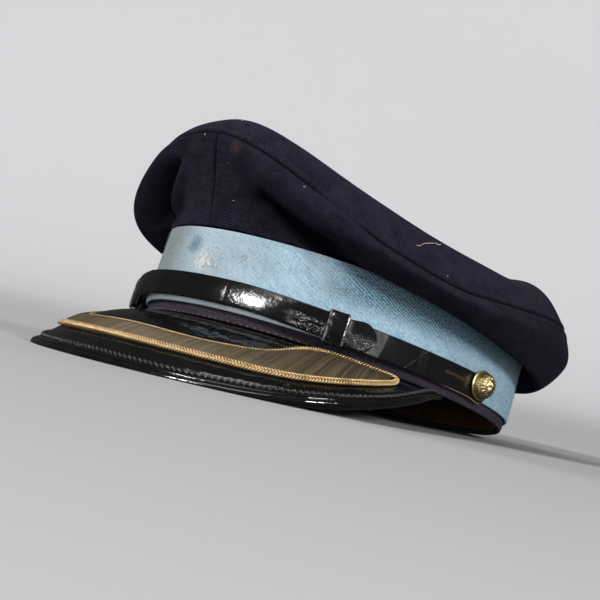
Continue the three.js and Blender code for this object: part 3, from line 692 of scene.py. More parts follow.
side_turn = np.linspace(-np.pi, np.pi, 721)
side_angles = side_turn - 0.36 * np.sin(2 * side_turn)
side_share = 1 - (1 - np.linspace(0, 1, 66)) ** 1.5
side_plain = crown_side(side_angles, side_share)
side_normal = normals(side_plain)
side_x, side_y, side_z = np.moveaxis(side_plain, -1, 0)
side_step = np.linalg.norm(np.diff(side_plain, axis=1), axis=-1)
side_below = np.concatenate([np.zeros((len(side_angles), 1)), np.cumsum(side_step, 1)], 1)
to_seam = side_below[:, -1:] - side_below
degrees = np.degrees(side_angles)[:, None]
fold_height = smooth_table(FOLD_TABLE, degrees[:, 0])
fold_share = ease(degrees, 12, 20) * (1 - ease(degrees, 40, 52))
far_share = ease(side_z, 43.7, 44.8) * (1 - ease(side_z, 64, 76))
far_away = degrees - FAR_FOLD_ANGLE + FAR_FOLD_SLANT * (FAR_FOLD_TOP - side_z)
side_move = cloth_swell(side_x, side_y, side_z) * ease(to_seam, 0, 12) * ease(side_below, 0, 8)
above_fold = side_z - fold_height
fold_move = 3.4 * bump(above_fold - 12, 7) - 7.0 * crease(-above_fold, 2.0, 5.0)
fold_move = fold_move + 0.9 * bump(above_fold + 5, 3)
side_move += fold_share * fold_move
side_move += far_share * (1.2 * bump(far_away - 4, 3) - 8.0 * crease(far_away, 1.0, 5.0))
side_move -= 0.8 * bump(to_seam, 0.5) - 0.3 * bump(to_seam - 2.6, 1.4)
front_away = np.abs(side_x) + 1000 * (side_y > 0)
back_away = np.abs(side_x) + 1000 * (side_y < 0)
pucker = 0.16 * np.sin(side_z * 1.7) * bump(front_away - 3.5, 2.5) * (side_x > 0)
side_move += pucker + 0.25 * bump(front_away - 2.4, 1.5)
side_move -= 0.7 * bump(front_away, 0.55) * ease(side_below, 2, 20) + 0.8 * bump(back_away, 0.6)
side_outer = side_plain + side_normal * side_move[..., None]
# Painted shade: the cloth is darkened along the two folds, at the top seam and down the front and back
# seams, where shade falls in them.
crease_shade = 0.95 * fold_share * crease(0.5 - above_fold, 1.6, 4.5)
crease_shade = crease_shade + 0.95 * far_share * crease(far_away + 0.5, 1.2, 3.5)
crease_shade = crease_shade + 0.85 * bump(to_seam, 0.55) + 0.7 * bump(front_away, 0.45) + 0.7 * bump(back_away, 0.45)
crease_shade = np.concatenate([np.minimum(crease_shade, 1), np.zeros_like(crease_shade)], 1)
side_inner = side_plain + side_normal * (np.minimum(side_move, 0) - CROWN_WALL)[..., None]
side_walls = np.concatenate([side_outer, side_inner[:, ::-1]], 1)

navy_wool, tree, shader, colour = wool(
    "navy_wool", DEEP_NAVY, LIGHT_NAVY, pitch=0.95, slant=0.10, depth=0.00024, fuzz=2.2,
    lint_share=0.16, nap_size=1.0,
)
colour = tinted(tree, colour, (spot(tree, WORN_PLACE, 0.2, 6.0), 0.5, FADED_BROWN))
fill(tree, shader, {"Base Color": blend(tree, mark(tree, "crease_shade"), colour, CREASE_SHADE_BLACK)})

middle = len(side_angles) // 2
for side_name, columns in (("left", slice(middle, None)), ("right", slice(0, middle + 1))):
    crown_half = piece("crown_cloth_" + side_name, side_walls[columns], marks={"crease_shade": crease_shade[columns]})
    fit(crown_half, navy_wool, "navy_wool", "crown_side_" + side_name)


# Crown top: an oval panel of the same wool, set into the sides with a turned seam that is sewn down
# by a row of small stitches. It rolls over at its edge, stands high at the front and dips behind.
CREST_Y = -110.0
CREST_UP = 104.0
SCOOP_POWER = 3.0
SADDLE_Y = 10.0
SADDLE_UP = 67.0
SWELL_Y = 75.0
SWELL_UP = 76.0
ROLL_FRONT = 20.0
ROLL_GAIN = 10.0
ROLL_POWER = 2.0
TOP_SEAM_GAP = 0.3
STITCH_IN = 4.0
THREAD_NAVY = (0.005, 0.005, 0.009, 1.0)


def top_height(y):
    """Height of the top panel from front to back: a power of the way from the saddle to the crest, and a
    smooth rise from the saddle to the swell behind it."""
    scoop = np.maximum((SADDLE_Y - y) / (SADDLE_Y - CREST_Y), 0) ** SCOOP_POWER
    swell = ease(y, SADDLE_Y, SWELL_Y)
    return SADDLE_UP + (CREST_UP - SADDLE_UP) * scoop + (SWELL_UP - SADDLE_UP) * swell


def crown_top(theta, inward):
    """Outside of the top panel: the seam drawn in towards the middle, which rolls over from the seam's
    height to the panel's own height within a width that grows towards the back."""
    seam = crown_side(theta, np.array([1.0]))
    reach = np.linalg.norm(seam[..., :2], axis=-1)
    roll = ROLL_FRONT + ROLL_GAIN * np.sin(np.abs(theta) / 2)[:, None]
    plan = seam[..., :2] * (1 - inward)[None, :, None]
    flat = 1 - (1 - np.minimum(inward * reach / roll, 1)) ** ROLL_POWER
    height = seam[..., 2] + (top_height(plan[..., 1]) - seam[..., 2]) * flat
    return np.concatenate([plan, height[..., None]], -1)


top_angles = np.linspace(-np.pi, np.pi, 541)[:-1]
top_inward = np.linspace(0, 1, 52) ** 1.8
top_inward = top_inward + TOP_SEAM_GAP / 110 * (1 - top_inward)
top_plain = crown_top(top_angles, top_inward)
top_normal = normals(wrapped(top_plain))[1:-1]
top_normal[:, -1] = UPWARD
top_x, top_y, top_z = np.moveaxis(top_plain, -1, 0)
top_step = np.linalg.norm(np.diff(top_plain, axis=1), axis=-1)
from_seam = np.concatenate([np.zeros((len(top_angles), 1)), np.cumsum(top_step, 1)], 1)
top_move = 1.6 * cloth_swell(top_x, top_y, top_z) * ease(from_seam, 2, 16)
top_move -= 0.8 * bump(from_seam, 0.5) - 0.3 * bump(from_seam - 2.0, 1.1)
top_move -= 0.3 * bump(from_seam - STITCH_IN, 0.5)
top_outer = top_plain + top_normal * top_move[..., None]
top_inner = top_plain - top_normal * CROWN_WALL
top_walls = np.concatenate([top_inner[:, ::-1], top_outer], 1)
top_closed = np.concatenate([top_walls, top_walls[:1]])
# Painted shade along the top seam and the row of stitches beside it.
top_crease_shade = 0.85 * bump(from_seam, 0.55) + 0.35 * bump(from_seam - STITCH_IN, 0.4)
top_marks = {"crease_shade": np.concatenate([np.zeros_like(from_seam), top_crease_shade], 1)}
top_panel = piece(
    "crown_cloth_top", top_walls, ring=True, tube=False, uv=top_closed[..., :2], marks=top_marks,
)
top_wool, tree, shader, colour = wool(
    "top_wool", DEEP_NAVY, LIGHT_NAVY, pitch=0.95, slant=0.10, depth=0.00022, fuzz=2.3,
    lint_share=0.16, ribbed=0.3, nap_size=1.0,
)
fill(tree, shader, {"Base Color": blend(tree, mark(tree, "crease_shade"), colour, CREASE_SHADE_BLACK)})
fit(top_panel, top_wool, "navy_wool", "crown_top")

stitch_row = (from_seam < STITCH_IN).sum(1)
stitch_column = np.arange(len(top_angles))
stitch_line = top_outer[stitch_column, stitch_row]
stitch_before = from_seam[stitch_column, stitch_row] - STITCH_IN
stitch_step = top_outer[stitch_column, stitch_row - 1] - stitch_line
stitch_line = stitch_line + unit(stitch_step) * stitch_before[:, None]
stitch_starts, stitch_ends = stitch_line[::2], stitch_line[1::2]
stitch_lift = top_normal[stitch_column, stitch_row][::2]
top_stitching = stitches(
    "crown_top_stitching", stitch_starts, stitch_ends, stitch_lift, height=0.15, radius=0.15,
)
fit(top_stitching, thread("navy_thread", THREAD_NAVY), "navy_wool")


def seated(surface, facing, places):
    """Nearest points of a surface to places of the cap's frame, with its normals there."""
    cloud, outward = surface.reshape(-1, 3), facing.reshape(-1, 3)
    nearest = np.linalg.norm(cloud[None] - np.array(places, float)[:, None], axis=-1).argmin(1)
    return cloud[nearest], outward[nearest]


# Lint on the crown: a few short pale fibres and one tan thread that cling to the nap.
LINT_PALE = (0.62, 0.60, 0.56, 1.0)
LINT_TAN = (0.48, 0.36, 0.20, 1.0)
LINT_PLACES = [
    (-53, -87, 51), (-9, -115, 85), (13, -104, 57), (56, -102, 66), (6, -108, 94), (98, -38, 50),
    (70, 60, 66), (-40, 70, 70), (-85, -20, 55), (20, 10, 72), (-100, 30, 45), (30, 115, 40),
]
TAN_START = np.array([88, -53, 58])
TAN_END = np.array([85, -35, 64])
TAN_ARCH = 2.0  # how far the tan thread bows up between its ends

crown_surface = np.concatenate([side_outer.reshape(-1, 3), top_outer.reshape(-1, 3)])
crown_facing = np.concatenate([side_normal.reshape(-1, 3), top_normal.reshape(-1, 3)])
lint_at, lint_up = seated(crown_surface, crown_facing, LINT_PLACES)
draw = np.random.default_rng(11)
lint_along = unit(np.cross(lint_up, draw.normal(size=lint_up.shape)))
lint_across = np.cross(lint_up, lint_along)
lint_share = np.linspace(-1, 1, 10)[:, None]
curl = draw.uniform(-0.25, 0.25, (len(lint_at), 1, 1))
lint_half = draw.uniform(0.25, 0.55, (len(lint_at), 1, 1))
lint_paths = lint_at[:, None] + lint_half * lint_share * lint_along[:, None]
lint_paths = lint_paths + curl * lint_share ** 2 * lint_across[:, None]
lint_paths = lint_paths + lint_up[:, None] * (0.2 + 0.1 * lint_share ** 2)
lint = piece("crown_lint", tubes(lint_paths, radius=0.13, sides=5, lift=lint_up[:, None]))
fit(lint, thread("lint_fibre", LINT_PALE), "navy_wool")
tan_share = np.linspace(0, 1, 60)[:, None]
tan_path = TAN_START + (TAN_END - TAN_START) * tan_share + TAN_ARCH * np.sin(np.pi * tan_share) * UPWARD
tan_path, tan_up = seated(crown_surface, crown_facing, tan_path)
smoothing = np.hanning(15) / np.hanning(15).sum()
ends_kept = np.pad(tan_path + 0.35 * tan_up, ((7, 7), (0, 0)), mode="edge")
tan_path = np.stack([np.convolve(ends_kept[:, axis], smoothing, "valid") for axis in range(3)], -1)
tan_lint = piece("crown_tan_thread", tubes(tan_path, radius=0.22, sides=6, lift=tan_up))
fit(tan_lint, thread("tan_fibre", LINT_TAN), "navy_wool")


# Visor: a stiff peak of black patent leather sewn under the rim. It arches from side to side, drops
# towards its edge and has a grooved line just inside the rolled edge.
PEAK_ANGLE = np.radians(87)
PEAK_INNER_OUT = -3.9
PEAK_SEAT = 0.5
PEAK_END_OUT = 1.5
PEAK_REACH = 47.5
PEAK_DROP = 36.0
PEAK_BOW = 8.0
PEAK_WALL = 2.5
BEAD_HALF_WIDTH = 2.0
BEAD_HALF_HEIGHT = 2.3
BEAD_TAPER = 0.86
BEAD_END_SHARE = 0.4
GROOVE_FROM_EDGE = 2.6
PATENT_BLACK = (0.0026, 0.0025, 0.0027, 1.0)
DUSTY_BLACK = (0.0085, 0.0080, 0.0078, 1.0)
UNDER_BLACK = (0.0120, 0.0110, 0.0105, 1.0)
DUST = (0.25, 0.23, 0.2, 1.0)


def peak_point(across, along):
    """Upper face of the peak: from the rim to an edge that reaches out and drops by powers of the place
    across, arched above the straight line between them and twisted a little to one side."""
    across, along = np.broadcast_arrays(across, along)
    share = lambda power, outer: np.maximum(1 - np.abs(across) ** power, 0) ** outer
    rim = oval(across * PEAK_ANGLE, PEAK_INNER_OUT, 0.0)
    edge_out = PEAK_END_OUT + (PEAK_REACH - PEAK_END_OUT) * share(4.2, 1.6)
    edge = oval(across * PEAK_ANGLE, edge_out, 0.0)
    edge[..., 2] = -PEAK_DROP * share(2.9, 2.0) - PEAK_TWIST * edge[..., 0] * share(6.0, 1.0)
    point = rim + (edge - rim) * along[..., None]
    point[..., 2] += 4 * along * (1 - along) * PEAK_BOW * share(2.9, 2.0) - PEAK_SEAT
    return point


def peak_normal(across, along, step=0.01):
    """Upward normal of the peak, from its slopes across and along."""
    sideways = peak_point(across + step, along) - peak_point(across - step, along)
    outwards = peak_point(across, along + step) - peak_point(across, along - step)
    return unit(np.cross(outwards, sideways))


def peak_length(across):
    """Straight distance from the rim to the peak's edge."""
    return np.linalg.norm(peak_point(across, 1.0) - peak_point(across, 0.0), axis=-1)


def bead_share(across):
    """Share of its full thickness that the rolled edge has at a place across the peak."""
    return 1 - (1 - BEAD_END_SHARE) * ease(np.abs(across), BEAD_TAPER, 1.0)


peak_across = np.linspace(-1, 1, 241)[:, None]
peak_end = 1 - (BEAD_HALF_WIDTH * bead_share(peak_across) - 0.2) / peak_length(peak_across)
peak_along = np.linspace(0, 1, 60) ** 0.8 * peak_end
peak_from_edge = (peak_end - peak_along) * peak_length(peak_across)
peak_plain = peak_point(peak_across, peak_along)
peak_up = -normals(peak_plain)
from_groove = peak_from_edge - GROOVE_FROM_EDGE
groove = 0.55 * bump(from_groove, 0.55) - 0.2 * bump(from_groove - 1.8, 1.0)
peak_upper = peak_plain - peak_up * groove[..., None]
peak_lower = settled(peak_plain - peak_up * PEAK_WALL)
peak_walls = np.concatenate([peak_upper, peak_lower[:, ::-1]], 1)
under = np.repeat([0.0, 1.0], peak_along.shape[1])
peak = piece("peak_leather", peak_walls, marks={"under": under})

# Lacquer: the slow ripple, the smudges and the fine scratches of a patent finish
LACQUER, given, result = effect("Patent lacquer", ["Ripple", "Smudge", "Scratch"])
drawn = node(LACQUER, "Mapping", {0: given["Place"], 2: (0.3, 0.5, 0.9), 3: (0.05, 1.3, 0.4)}).outputs[0]
fill(LACQUER, result, {
    "Ripple": noise(LACQUER, given["Place"], 0.16, 2.0),
    "Smudge": span(LACQUER, noise(LACQUER, given["Place"], 0.05, 6.0, 0.65), 0.4, 0.75),
    "Scratch": span(LACQUER, noise(LACQUER, drawn, 1.2, 5.0, 0.7), 0.62, 0.72),
})


def patent(name, gloss):
    """Patent leather: black lacquer with smudges that dull it, specks of dust and fine scratches."""
    made, tree, shader = finish(name, Specular_IOR_Level=gloss)
    place = millimetres(tree)
    coat = use(tree, LACQUER, Place=place)
    dust = use(tree, LINT, Place=place, Spacing=3.2, Share=0.3, Size=0.22)["Mask"]
    dusty = times(tree, coat["Scratch"], 0.35, times(tree, coat["Smudge"], 0.4))
    colour = blend(tree, dusty, PATENT_BLACK, DUSTY_BLACK)
    colour = tinted(tree, colour, (dust, 0.35, DUST))
    rough = times(tree, coat["Smudge"], 0.12, 0.07)
    rough = times(tree, coat["Scratch"], 0.2, rough)
    fill(tree, shader, {"Base Color": colour, "Roughness": rough})
    fill(tree, shader, {"Normal": relief(tree, coat["Ripple"], 0.0012, 0.35)})
    return made, tree, shader, colour, rough


peak_patent, tree, shader, colour, rough = patent("peak_patent", gloss=0.5)
grain = use(tree, GRAIN, Place=millimetres(tree), Size=1.1)
lacquer_normal = shader.inputs["Normal"].links[0].from_socket
under_depth = times(tree, grain["Height"], mark(tree, "under"))
fill(tree, shader, {"Base Color": blend(tree, mark(tree, "under"), colour, UNDER_BLACK)})
fill(tree, shader, {"Roughness": times(tree, mark(tree, "under"), 0.45, rough)})
fill(tree, shader, {"Normal": relief(tree, under_depth, 0.0001, 0.7, lacquer_normal)})
fit(peak, peak_patent, "patent_leather", "visor")


# Rolled edge: a strip of patent leather wrapped round the edge of the peak and sewn through it, with
# a row of slanting stitches that lies in the groove like a thin rope.
ROPE_END = 0.985  # place across the peak at which the row of stitches ends
ROPE_PITCH = 3.0
WAXED_BLACK = (0.026, 0.025, 0.024, 1.0)
JOINT_TAN = (0.22, 0.16, 0.10, 1.0)

bead_across = np.linspace(-1, 1, 301)
bead_up = peak_normal(bead_across, 1.0)
bead_out = unit(peak_point(bead_across, 1.0) - peak_point(bead_across, 0.99))
bead_centre = peak_point(bead_across, 1.0) - bead_up * PEAK_WALL / 2
bead_turn = full_turn(20)[:, None]
bead_ripple = 1 + 0.02 * np.sin(np.arange(len(bead_across)) * 1.1)[:, None, None]
bead_ripple = bead_ripple * bead_share(bead_across)[:, None, None]
bead_grid = bead_centre[:, None] + bead_ripple * (
    BEAD_HALF_WIDTH * np.cos(bead_turn) * bead_out[:, None]
    + BEAD_HALF_HEIGHT * np.sin(bead_turn) * bead_up[:, None]
)
rolled_edge = piece("peak_rolled_edge", settled(bead_grid))
edge_patent = patent("edge_patent", gloss=0.6)[0]
fit(rolled_edge, edge_patent, "patent_leather", "visor_binding")


def even_places(points, spacing):
    """Shares of the way along a path of points at which places an even spacing apart lie."""
    length = np.append(0, np.cumsum(np.linalg.norm(np.diff(points, axis=0), axis=-1)))
    count = int(length[-1] / spacing)
    return np.interp(np.linspace(0, length[-1], count + 1), length, np.linspace(0, 1, len(points)))


rope_line = peak_point(np.linspace(-ROPE_END, ROPE_END, 600), 0.95)
rope_share = ROPE_END * (2 * even_places(rope_line, ROPE_PITCH) - 1)
rope_step = 0.46 * np.append(np.diff(rope_share), 0.01)
rope_up = peak_normal(rope_share, 0.93)
on_roll = ease(np.abs(rope_share), 0.55, 0.75)
rope_raised = (0.8 * on_roll - 0.15)[:, None] * rope_up


def rope_point(across, extra):
    """Ends of the stitches in the groove, further from the peak's edge by extra, and up on the roll where
    the groove closes towards the sides."""
    from_edge = BEAD_HALF_WIDTH + GROOVE_FROM_EDGE - 0.2 + extra - 1.8 * on_roll
    return peak_point(across, 1 - from_edge / peak_length(across)) + rope_raised


rope_starts, rope_ends = rope_point(rope_share - rope_step, 0.6), rope_point(rope_share + rope_step, -0.9)
edge_stitching = stitches("peak_edge_stitching", rope_starts, rope_ends, rope_up, height=1.0, radius=0.85)
fit(edge_stitching, thread("waxed_thread", WAXED_BLACK, 0.28), "patent_leather")

joint_angles = np.radians(np.arange(-60, 55, 2.3))
joint_starts = oval(joint_angles, BASE_OUT + 0.05, 0.7)
joint_ends = oval(joint_angles + np.radians(0.9), BASE_OUT + 0.25, 0.15)
joint_lift = unit(oval(joint_angles, 1.0, 0.3) - oval(joint_angles, 0.0, 0.0))
joint_stitching = stitches(
    "peak_joint_stitching", joint_starts, joint_ends, joint_lift, height=0.2, radius=0.2,
)
fit(joint_stitching, thread("tan_thread", JOINT_TAN), "patent_leather")


# Gold crescent: metal threads laid side by side over a padded crescent on the peak, tarnished to a
# brown grey. The threads lean a little, and each stands up as a fine ridge.
BRAID_TABLE = np.array([
    # place across the peak, then the inner and the outer edge as shares of the way to its edge
    [0, 0.58, 0.79],
    [0.3, 0.57, 0.79],
    [0.42, 0.48, 0.8],
    [0.5, 0.29, 0.8],
    [0.58, 0.14, 0.78],
    [0.66, 0.15, 0.74],
    [0.74, 0.21, 0.68],
    [0.785, 0.27, 0.59],
    [0.8, 0.36, 0.48],
])
BRAID_TIP = 0.8
FIELD_TIP = 0.77
BRAID_SEAT = 0.45
BRAID_THICK = 1.5
BRAID_INSET = 1.3
THREAD_PITCH = 0.95
THREAD_ROWS = 6  # rows of the mesh for each thread
THREAD_LEAN = 0.45
PEAK_SPAN = 160.0  # millimetres round the peak for each unit of the place across it
DULL_GOLD = (0.060, 0.045, 0.026, 1.0)
WORN_GOLD = (0.115, 0.086, 0.051, 1.0)
BROWN_TARNISH = (0.060, 0.040, 0.022, 1.0)
THREAD_GAP_SHADE = (0.02, 0.014, 0.008, 1.0)

BRAID_SECTIONS = np.concatenate([mirrored(BRAID_TABLE[1:], 0), BRAID_TABLE])
field_line = np.linspace(-FIELD_TIP, FIELD_TIP, 900)
field_middle = peak_point(field_line, smooth_table(BRAID_SECTIONS, field_line).mean(-1))
field_across = FIELD_TIP * (2 * even_places(field_middle, THREAD_PITCH / THREAD_ROWS) - 1)[:, None]
field_share = np.linspace(0, 1, 18)
field_mm = np.diff(smooth_table(BRAID_SECTIONS, field_across[:, 0])) * peak_length(field_across)
field_across = field_across - THREAD_LEAN * field_mm * (field_share - 0.5) / PEAK_SPAN
field_edges = smooth_table(BRAID_SECTIONS, field_across)
field_inset = BRAID_INSET / peak_length(field_across)
field_width = np.maximum(field_edges[..., 1] - field_edges[..., 0] - 2 * field_inset, 0.01)
field_along = field_edges[..., 0] + field_inset + field_width * field_share
thread_phase = np.broadcast_to(np.arange(len(field_across))[:, None] / THREAD_ROWS, field_along.shape)
thread_ridge = np.abs(np.sin(np.pi * thread_phase))
field_pad = (1 - np.abs(2 * field_share - 1) ** 3) ** 0.6
field_height = 0.25 + (BRAID_THICK - 0.45) * field_pad + 0.2 * thread_ridge
field_up = peak_normal(field_across, field_along)
field_top = peak_point(field_across, field_along) + field_up * (BRAID_SEAT + field_height)[..., None]
field_low = (peak_point(field_across, field_along) + field_up * BRAID_SEAT)[:, [-1, 0]]
field_walls = np.concatenate([field_top, field_low], 1)
thread_number = np.concatenate([thread_phase, thread_phase[:, [-1, 0]]], 1)
thread_raised = np.concatenate([thread_ridge, np.zeros((len(field_across), 2))], 1)
gold_field = piece("braid_threads", field_walls, marks={"thread": thread_number, "raised": thread_raised})

# Tarnish: patches where metal has gone brown
TARNISH, given, result = effect("Tarnish", ["Mask"], Size=10.0)
patchy = noise(TARNISH, given["Place"], maths(TARNISH, "DIVIDE", 1.0, given["Size"]), 6.0, 0.65, 0.3)
fill(TARNISH, result, {"Mask": span(TARNISH, patchy, 0.42, 0.68)})

gold_thread, tree, shader = finish("gold_thread", Metallic=0.45, Roughness=0.5)
number = maths(tree, "FLOOR", mark(tree, "thread"))
single = node(tree, "TexWhiteNoise", {"W": number}, noise_dimensions="1D").outputs["Value"]
tarnish = use(tree, TARNISH, Place=millimetres(tree), Size=14.0)["Mask"]
colour = blend(tree, single, DULL_GOLD, WORN_GOLD)
# Painted shade between the threads, where each ridge dips.
gap_shade = span(tree, mark(tree, "raised"), 0.0, 0.55, 1.0, 0.0)
colour = tinted(tree, colour, (tarnish, 0.55, BROWN_TARNISH), (gap_shade, 0.75, THREAD_GAP_SHADE))
fill(tree, shader, {"Base Color": colour, "Roughness": span(tree, single, 0.0, 1.0, 0.34, 0.55)})
fit(gold_field, gold_thread, "gold_thread", "braid_field")


# Gold cord: ropes of two twisted strands of bright wire thread that outline the crescent, two side
# by side along its outer edge and one along its inner edge.
CORD_RADIUS = 0.95
CORD_PITCH = 3.1
CORD_STEP = 0.22
INNER_GIRTH = 0.62  # thickness of the cord along the inner edge, as a share of the outer cord's
INNER_SUNK = 0.9  # how far the padded field stands over that cord in the middle
BRIGHT_GOLD = (0.700, 0.490, 0.235, 1.0)
CORD_BROWN = (0.160, 0.095, 0.040, 1.0)
STRAND_GAP_SHADE = (0.02, 0.012, 0.006, 1.0)


def rounded_path(points, count):
    """A closed path smoothed by a bell-shaped mean over count points."""
    weight = np.hanning(count + 2)[1:-1]
    moved = (np.roll(points, shift, axis=0) for shift in np.arange(count) - count // 2)
    return sum(part * line for part, line in zip(weight / weight.sum(), moved))


def cord_route(inset):
    """Closed path over the peak along the outline of the crescent, drawn in by inset at its outer edge, at
    an even spacing and with its corners rounded: the outer edge comes first and the inner one after.
    With it go the upward direction and the share of the cord's thickness at each of its points, and
    the number of the point at its tip."""
    there = np.linspace(-BRAID_TIP, BRAID_TIP, 1500)
    across = np.concatenate([there, there[::-1]])
    outer = smooth_table(BRAID_SECTIONS, there)[:, 1] - inset / peak_length(there)
    along = np.concatenate([outer, smooth_table(BRAID_SECTIONS, there[::-1])[:, 0]])
    share = even_places(peak_point(across, along), CORD_STEP)[:-1] * (len(across) - 1)
    place = np.stack([np.interp(share, np.arange(len(across)), line) for line in (across, along)], -1)
    place = rounded_path(place, 17)
    lift = peak_normal(place[:, 0], place[:, 1])
    inner = np.linspace(0, 1, len(place))
    inner = ease(inner, 0.47, 0.53) * (1 - ease(inner, 0.95, 1.0))
    inner = inner * ease(place[:, 0], -0.62, -0.5) * (1 - ease(place[:, 0], 0.38, 0.52))
    girth = 1 - (1 - INNER_GIRTH) * inner
    stand = BRAID_SEAT + girth * CORD_RADIUS - INNER_SUNK * inner
    route = peak_point(place[:, 0], place[:, 1]) + lift * stand[:, None]
    return route, lift, girth, place[:, 0].argmax()


def twisted(route, lift, girth, hand):
    """Two strands wound round a closed path: each keeps to a little over half the cord's radius from the
    path and turns about it in a whole number of turns of about one pitch."""
    before, after = np.roll(route, 1, axis=0), np.roll(route, -1, axis=0)
    sideways = unit(np.cross(after - before, lift))
    turns = round(CORD_STEP * len(route) / CORD_PITCH)
    phase = hand * 2 * np.pi * turns * np.arange(len(route)) / len(route)
    phase = np.stack([phase, phase + np.pi])[..., None]
    wound = CORD_RADIUS * 0.58 * girth[:, None] * (np.cos(phase) * sideways + np.sin(phase) * lift)
    thickness = 0.42 * CORD_RADIUS * wrapped(girth)
    return tubes(wrapped(route + wound, axis=1), thickness, 6, wrapped(lift))[:, 1:-1]


gold_cord, tree, shader = finish("gold_cord", Metallic=0.7)
tarnish = use(tree, TARNISH, Place=millimetres(tree), Size=7.0)["Mask"]
# Painted shade in the grooves between the two strands, with the crests left bright.
gap_shade = span(tree, mark(tree, "outside"), 0.55, 0.95, 1.0, 0.0)
colour = tinted(tree, BRIGHT_GOLD, (tarnish, 0.6, CORD_BROWN), (gap_shade, 0.95, STRAND_GAP_SHADE))
fill(tree, shader, {"Base Color": colour, "Roughness": span(tree, tarnish, 0.0, 1.0, 0.38, 0.55)})
fill(tree, shader, {"Normal": relief(tree, twist(tree, 1.1), 0.00004)})
for cord_name, inset, hand, nodes in (("outline", 0.0, 1, ["braid_cord"]), ("second", 1.75, -1, [])):
    route, lift, girth, tip = cord_route(inset)
    outer_run = slice(None) if nodes else slice(4, tip - 2)
    if not nodes:
        step = np.arange(len(route))
        buried = 1 - ease(step, 4, 20) * (1 - ease(step, outer_run.stop - 16, outer_run.stop))
        route = route - 1.2 * buried[:, None] * lift
    strands = twisted(route, lift, girth, hand)[:, outer_run]
    thickness = CORD_RADIUS * girth[outer_run, None]
    from_middle = np.linalg.norm(strands - route[outer_run][:, None], axis=-1) / thickness
    cord = piece("braid_cord_" + cord_name, strands, ring=bool(nodes), marks={"outside": from_middle})
    fit(cord, gold_cord, "gold_cord", *nodes)


# Chin strap: two lengths of thin patent leather with raw tan edges, each held by a button at one
# end and a loop near the other. The lacquer is creased, and dull where the strap has been handled.
STRAP_MIDDLE = 13.1
STRAP_HALF = 6.3
STRAP_DIP = 2.6
STRAP_WALL = 1.2
STRAP_END = 106.0
STRAP_TAB = 61.0
STRAP_ROUND = 3.8
STRAP_LIFT = 5.5
STRAP_GAP = 0.3
STRAP_CLIMB = 16.0  # degrees in which the outer length climbs onto the inner one
TAB_LENGTH = 11.0  # degrees of the outer length's end that stand off, and how far
TAB_RISE = 2.4
STRAP_BOW = 0.7  # how far the face of the strap swells in front, and at the sides
SIDE_BOW = 0.2
STRAP_TILT = 2.0  # how much further out its lower edge stands in front
TAB_FLARE = 0.14  # share by which the strap widens at its round ends
LOOP_ANGLE = 50.0
LOOP_SPREAD = 18.0
RAW_EDGE = (0.330, 0.215, 0.110, 1.0)
DULL_BLACK = (0.005, 0.005, 0.006, 1.0)
WEAR_AND_HIGHLIGHT_GREY = (0.105, 0.102, 0.104, 1.0)
SLIT_BROWN = (0.150, 0.060, 0.030, 1.0)
CREASES = [
    # angle, height in millimetres and width in degrees of each crease across the strap
    (17.0, -0.12, 0.5),
    (-24.0, 0.30, 1.1),
    (76.0, -0.25, 0.7),
    (79.0, 0.25, 0.9),
    (-76.0, -0.30, 0.8),
]


def strap_lift(angle):
    """Distance of the strap from the band: close to it, and arched away from it at its loops."""
    return STRAP_GAP + STRAP_LIFT * bump(np.abs(angle) - LOOP_ANGLE, LOOP_SPREAD)


def over_inner(angle):
    """Further distance of the outer length, which climbs onto the inner one and whose tab stands off."""
    tab = np.clip((angle - STRAP_TAB + TAB_LENGTH) / TAB_LENGTH, 0, 1)
    return (STRAP_WALL + STRAP_GAP) * ease(angle, -STRAP_TAB - STRAP_CLIMB, -STRAP_TAB) + TAB_RISE * tab ** 2


def strap_middle(angle):
    """Height of the middle of the strap above the rim, lower at the sides of the cap."""
    return STRAP_MIDDLE - STRAP_DIP * ease(np.abs(angle), 20.0, 55.0)


def strap_length(name, start, end, extra):
    """A length of strap between two angles: a rounded wall whose height follows round ends, over the
    band at strap_lift and extra, with shallow creases across it. Its marks say where its raw edge shows,
    the angle, the height and which length it is."""
    angle = np.linspace(start, end, 360)
    curve = 1 - np.minimum(np.minimum(angle - start, end - angle) / STRAP_ROUND, 1)
    to_end = np.minimum(np.abs(angle - start), np.abs(end - angle))
    height = np.sqrt(1 - 0.97 * curve ** 2) * (1 + TAB_FLARE * bump(to_end - STRAP_ROUND, 3.0))
    out, up = rounded_wall(STRAP_WALL, STRAP_WALL, -STRAP_HALF, STRAP_HALF, rows=14)
    creased = sum(depth * bump(angle - place, width) for place, depth, width in CREASES)
    in_front = (1 - ease(np.abs(angle), 28, 40))[:, None]
    crown = (SIDE_BOW + (STRAP_BOW - SIDE_BOW) * in_front) * (1 - (up / STRAP_HALF) ** 2)
    tilt = STRAP_TILT / 2 * in_front * (1 - up / STRAP_HALF)
    wave = 0.06 * np.sin(angle / 5.5)[:, None] * np.sin(up / 4 + 0.8)
    base = (strap_lift(angle) + extra(angle) + np.maximum(creased, -0.25))[:, None]
    high = height[:, None] * up
    stand = base + tilt + out + (crown + wave) * (out > STRAP_WALL / 2)
    grid = oval(np.radians(angle)[:, None], stand, strap_middle(angle)[:, None] + high)
    at_side = ease(np.abs(angle), 82, 90)[:, None]
    at_tab = (ease(np.abs(angle), 42, 46) * (1 - ease(np.abs(angle), 62, 66)))[:, None]
    shown = np.where(up < 0, 0.58 + 0.27 * at_side, 0.56) * (1 - at_tab)
    edge = shown * ease(np.abs(up), STRAP_HALF - 0.9, STRAP_HALF - 0.15)
    under = np.full_like(high, start > -90)
    return piece(name, grid, marks={"edge": edge, "round": angle[:, None], "high": high, "inner": under})


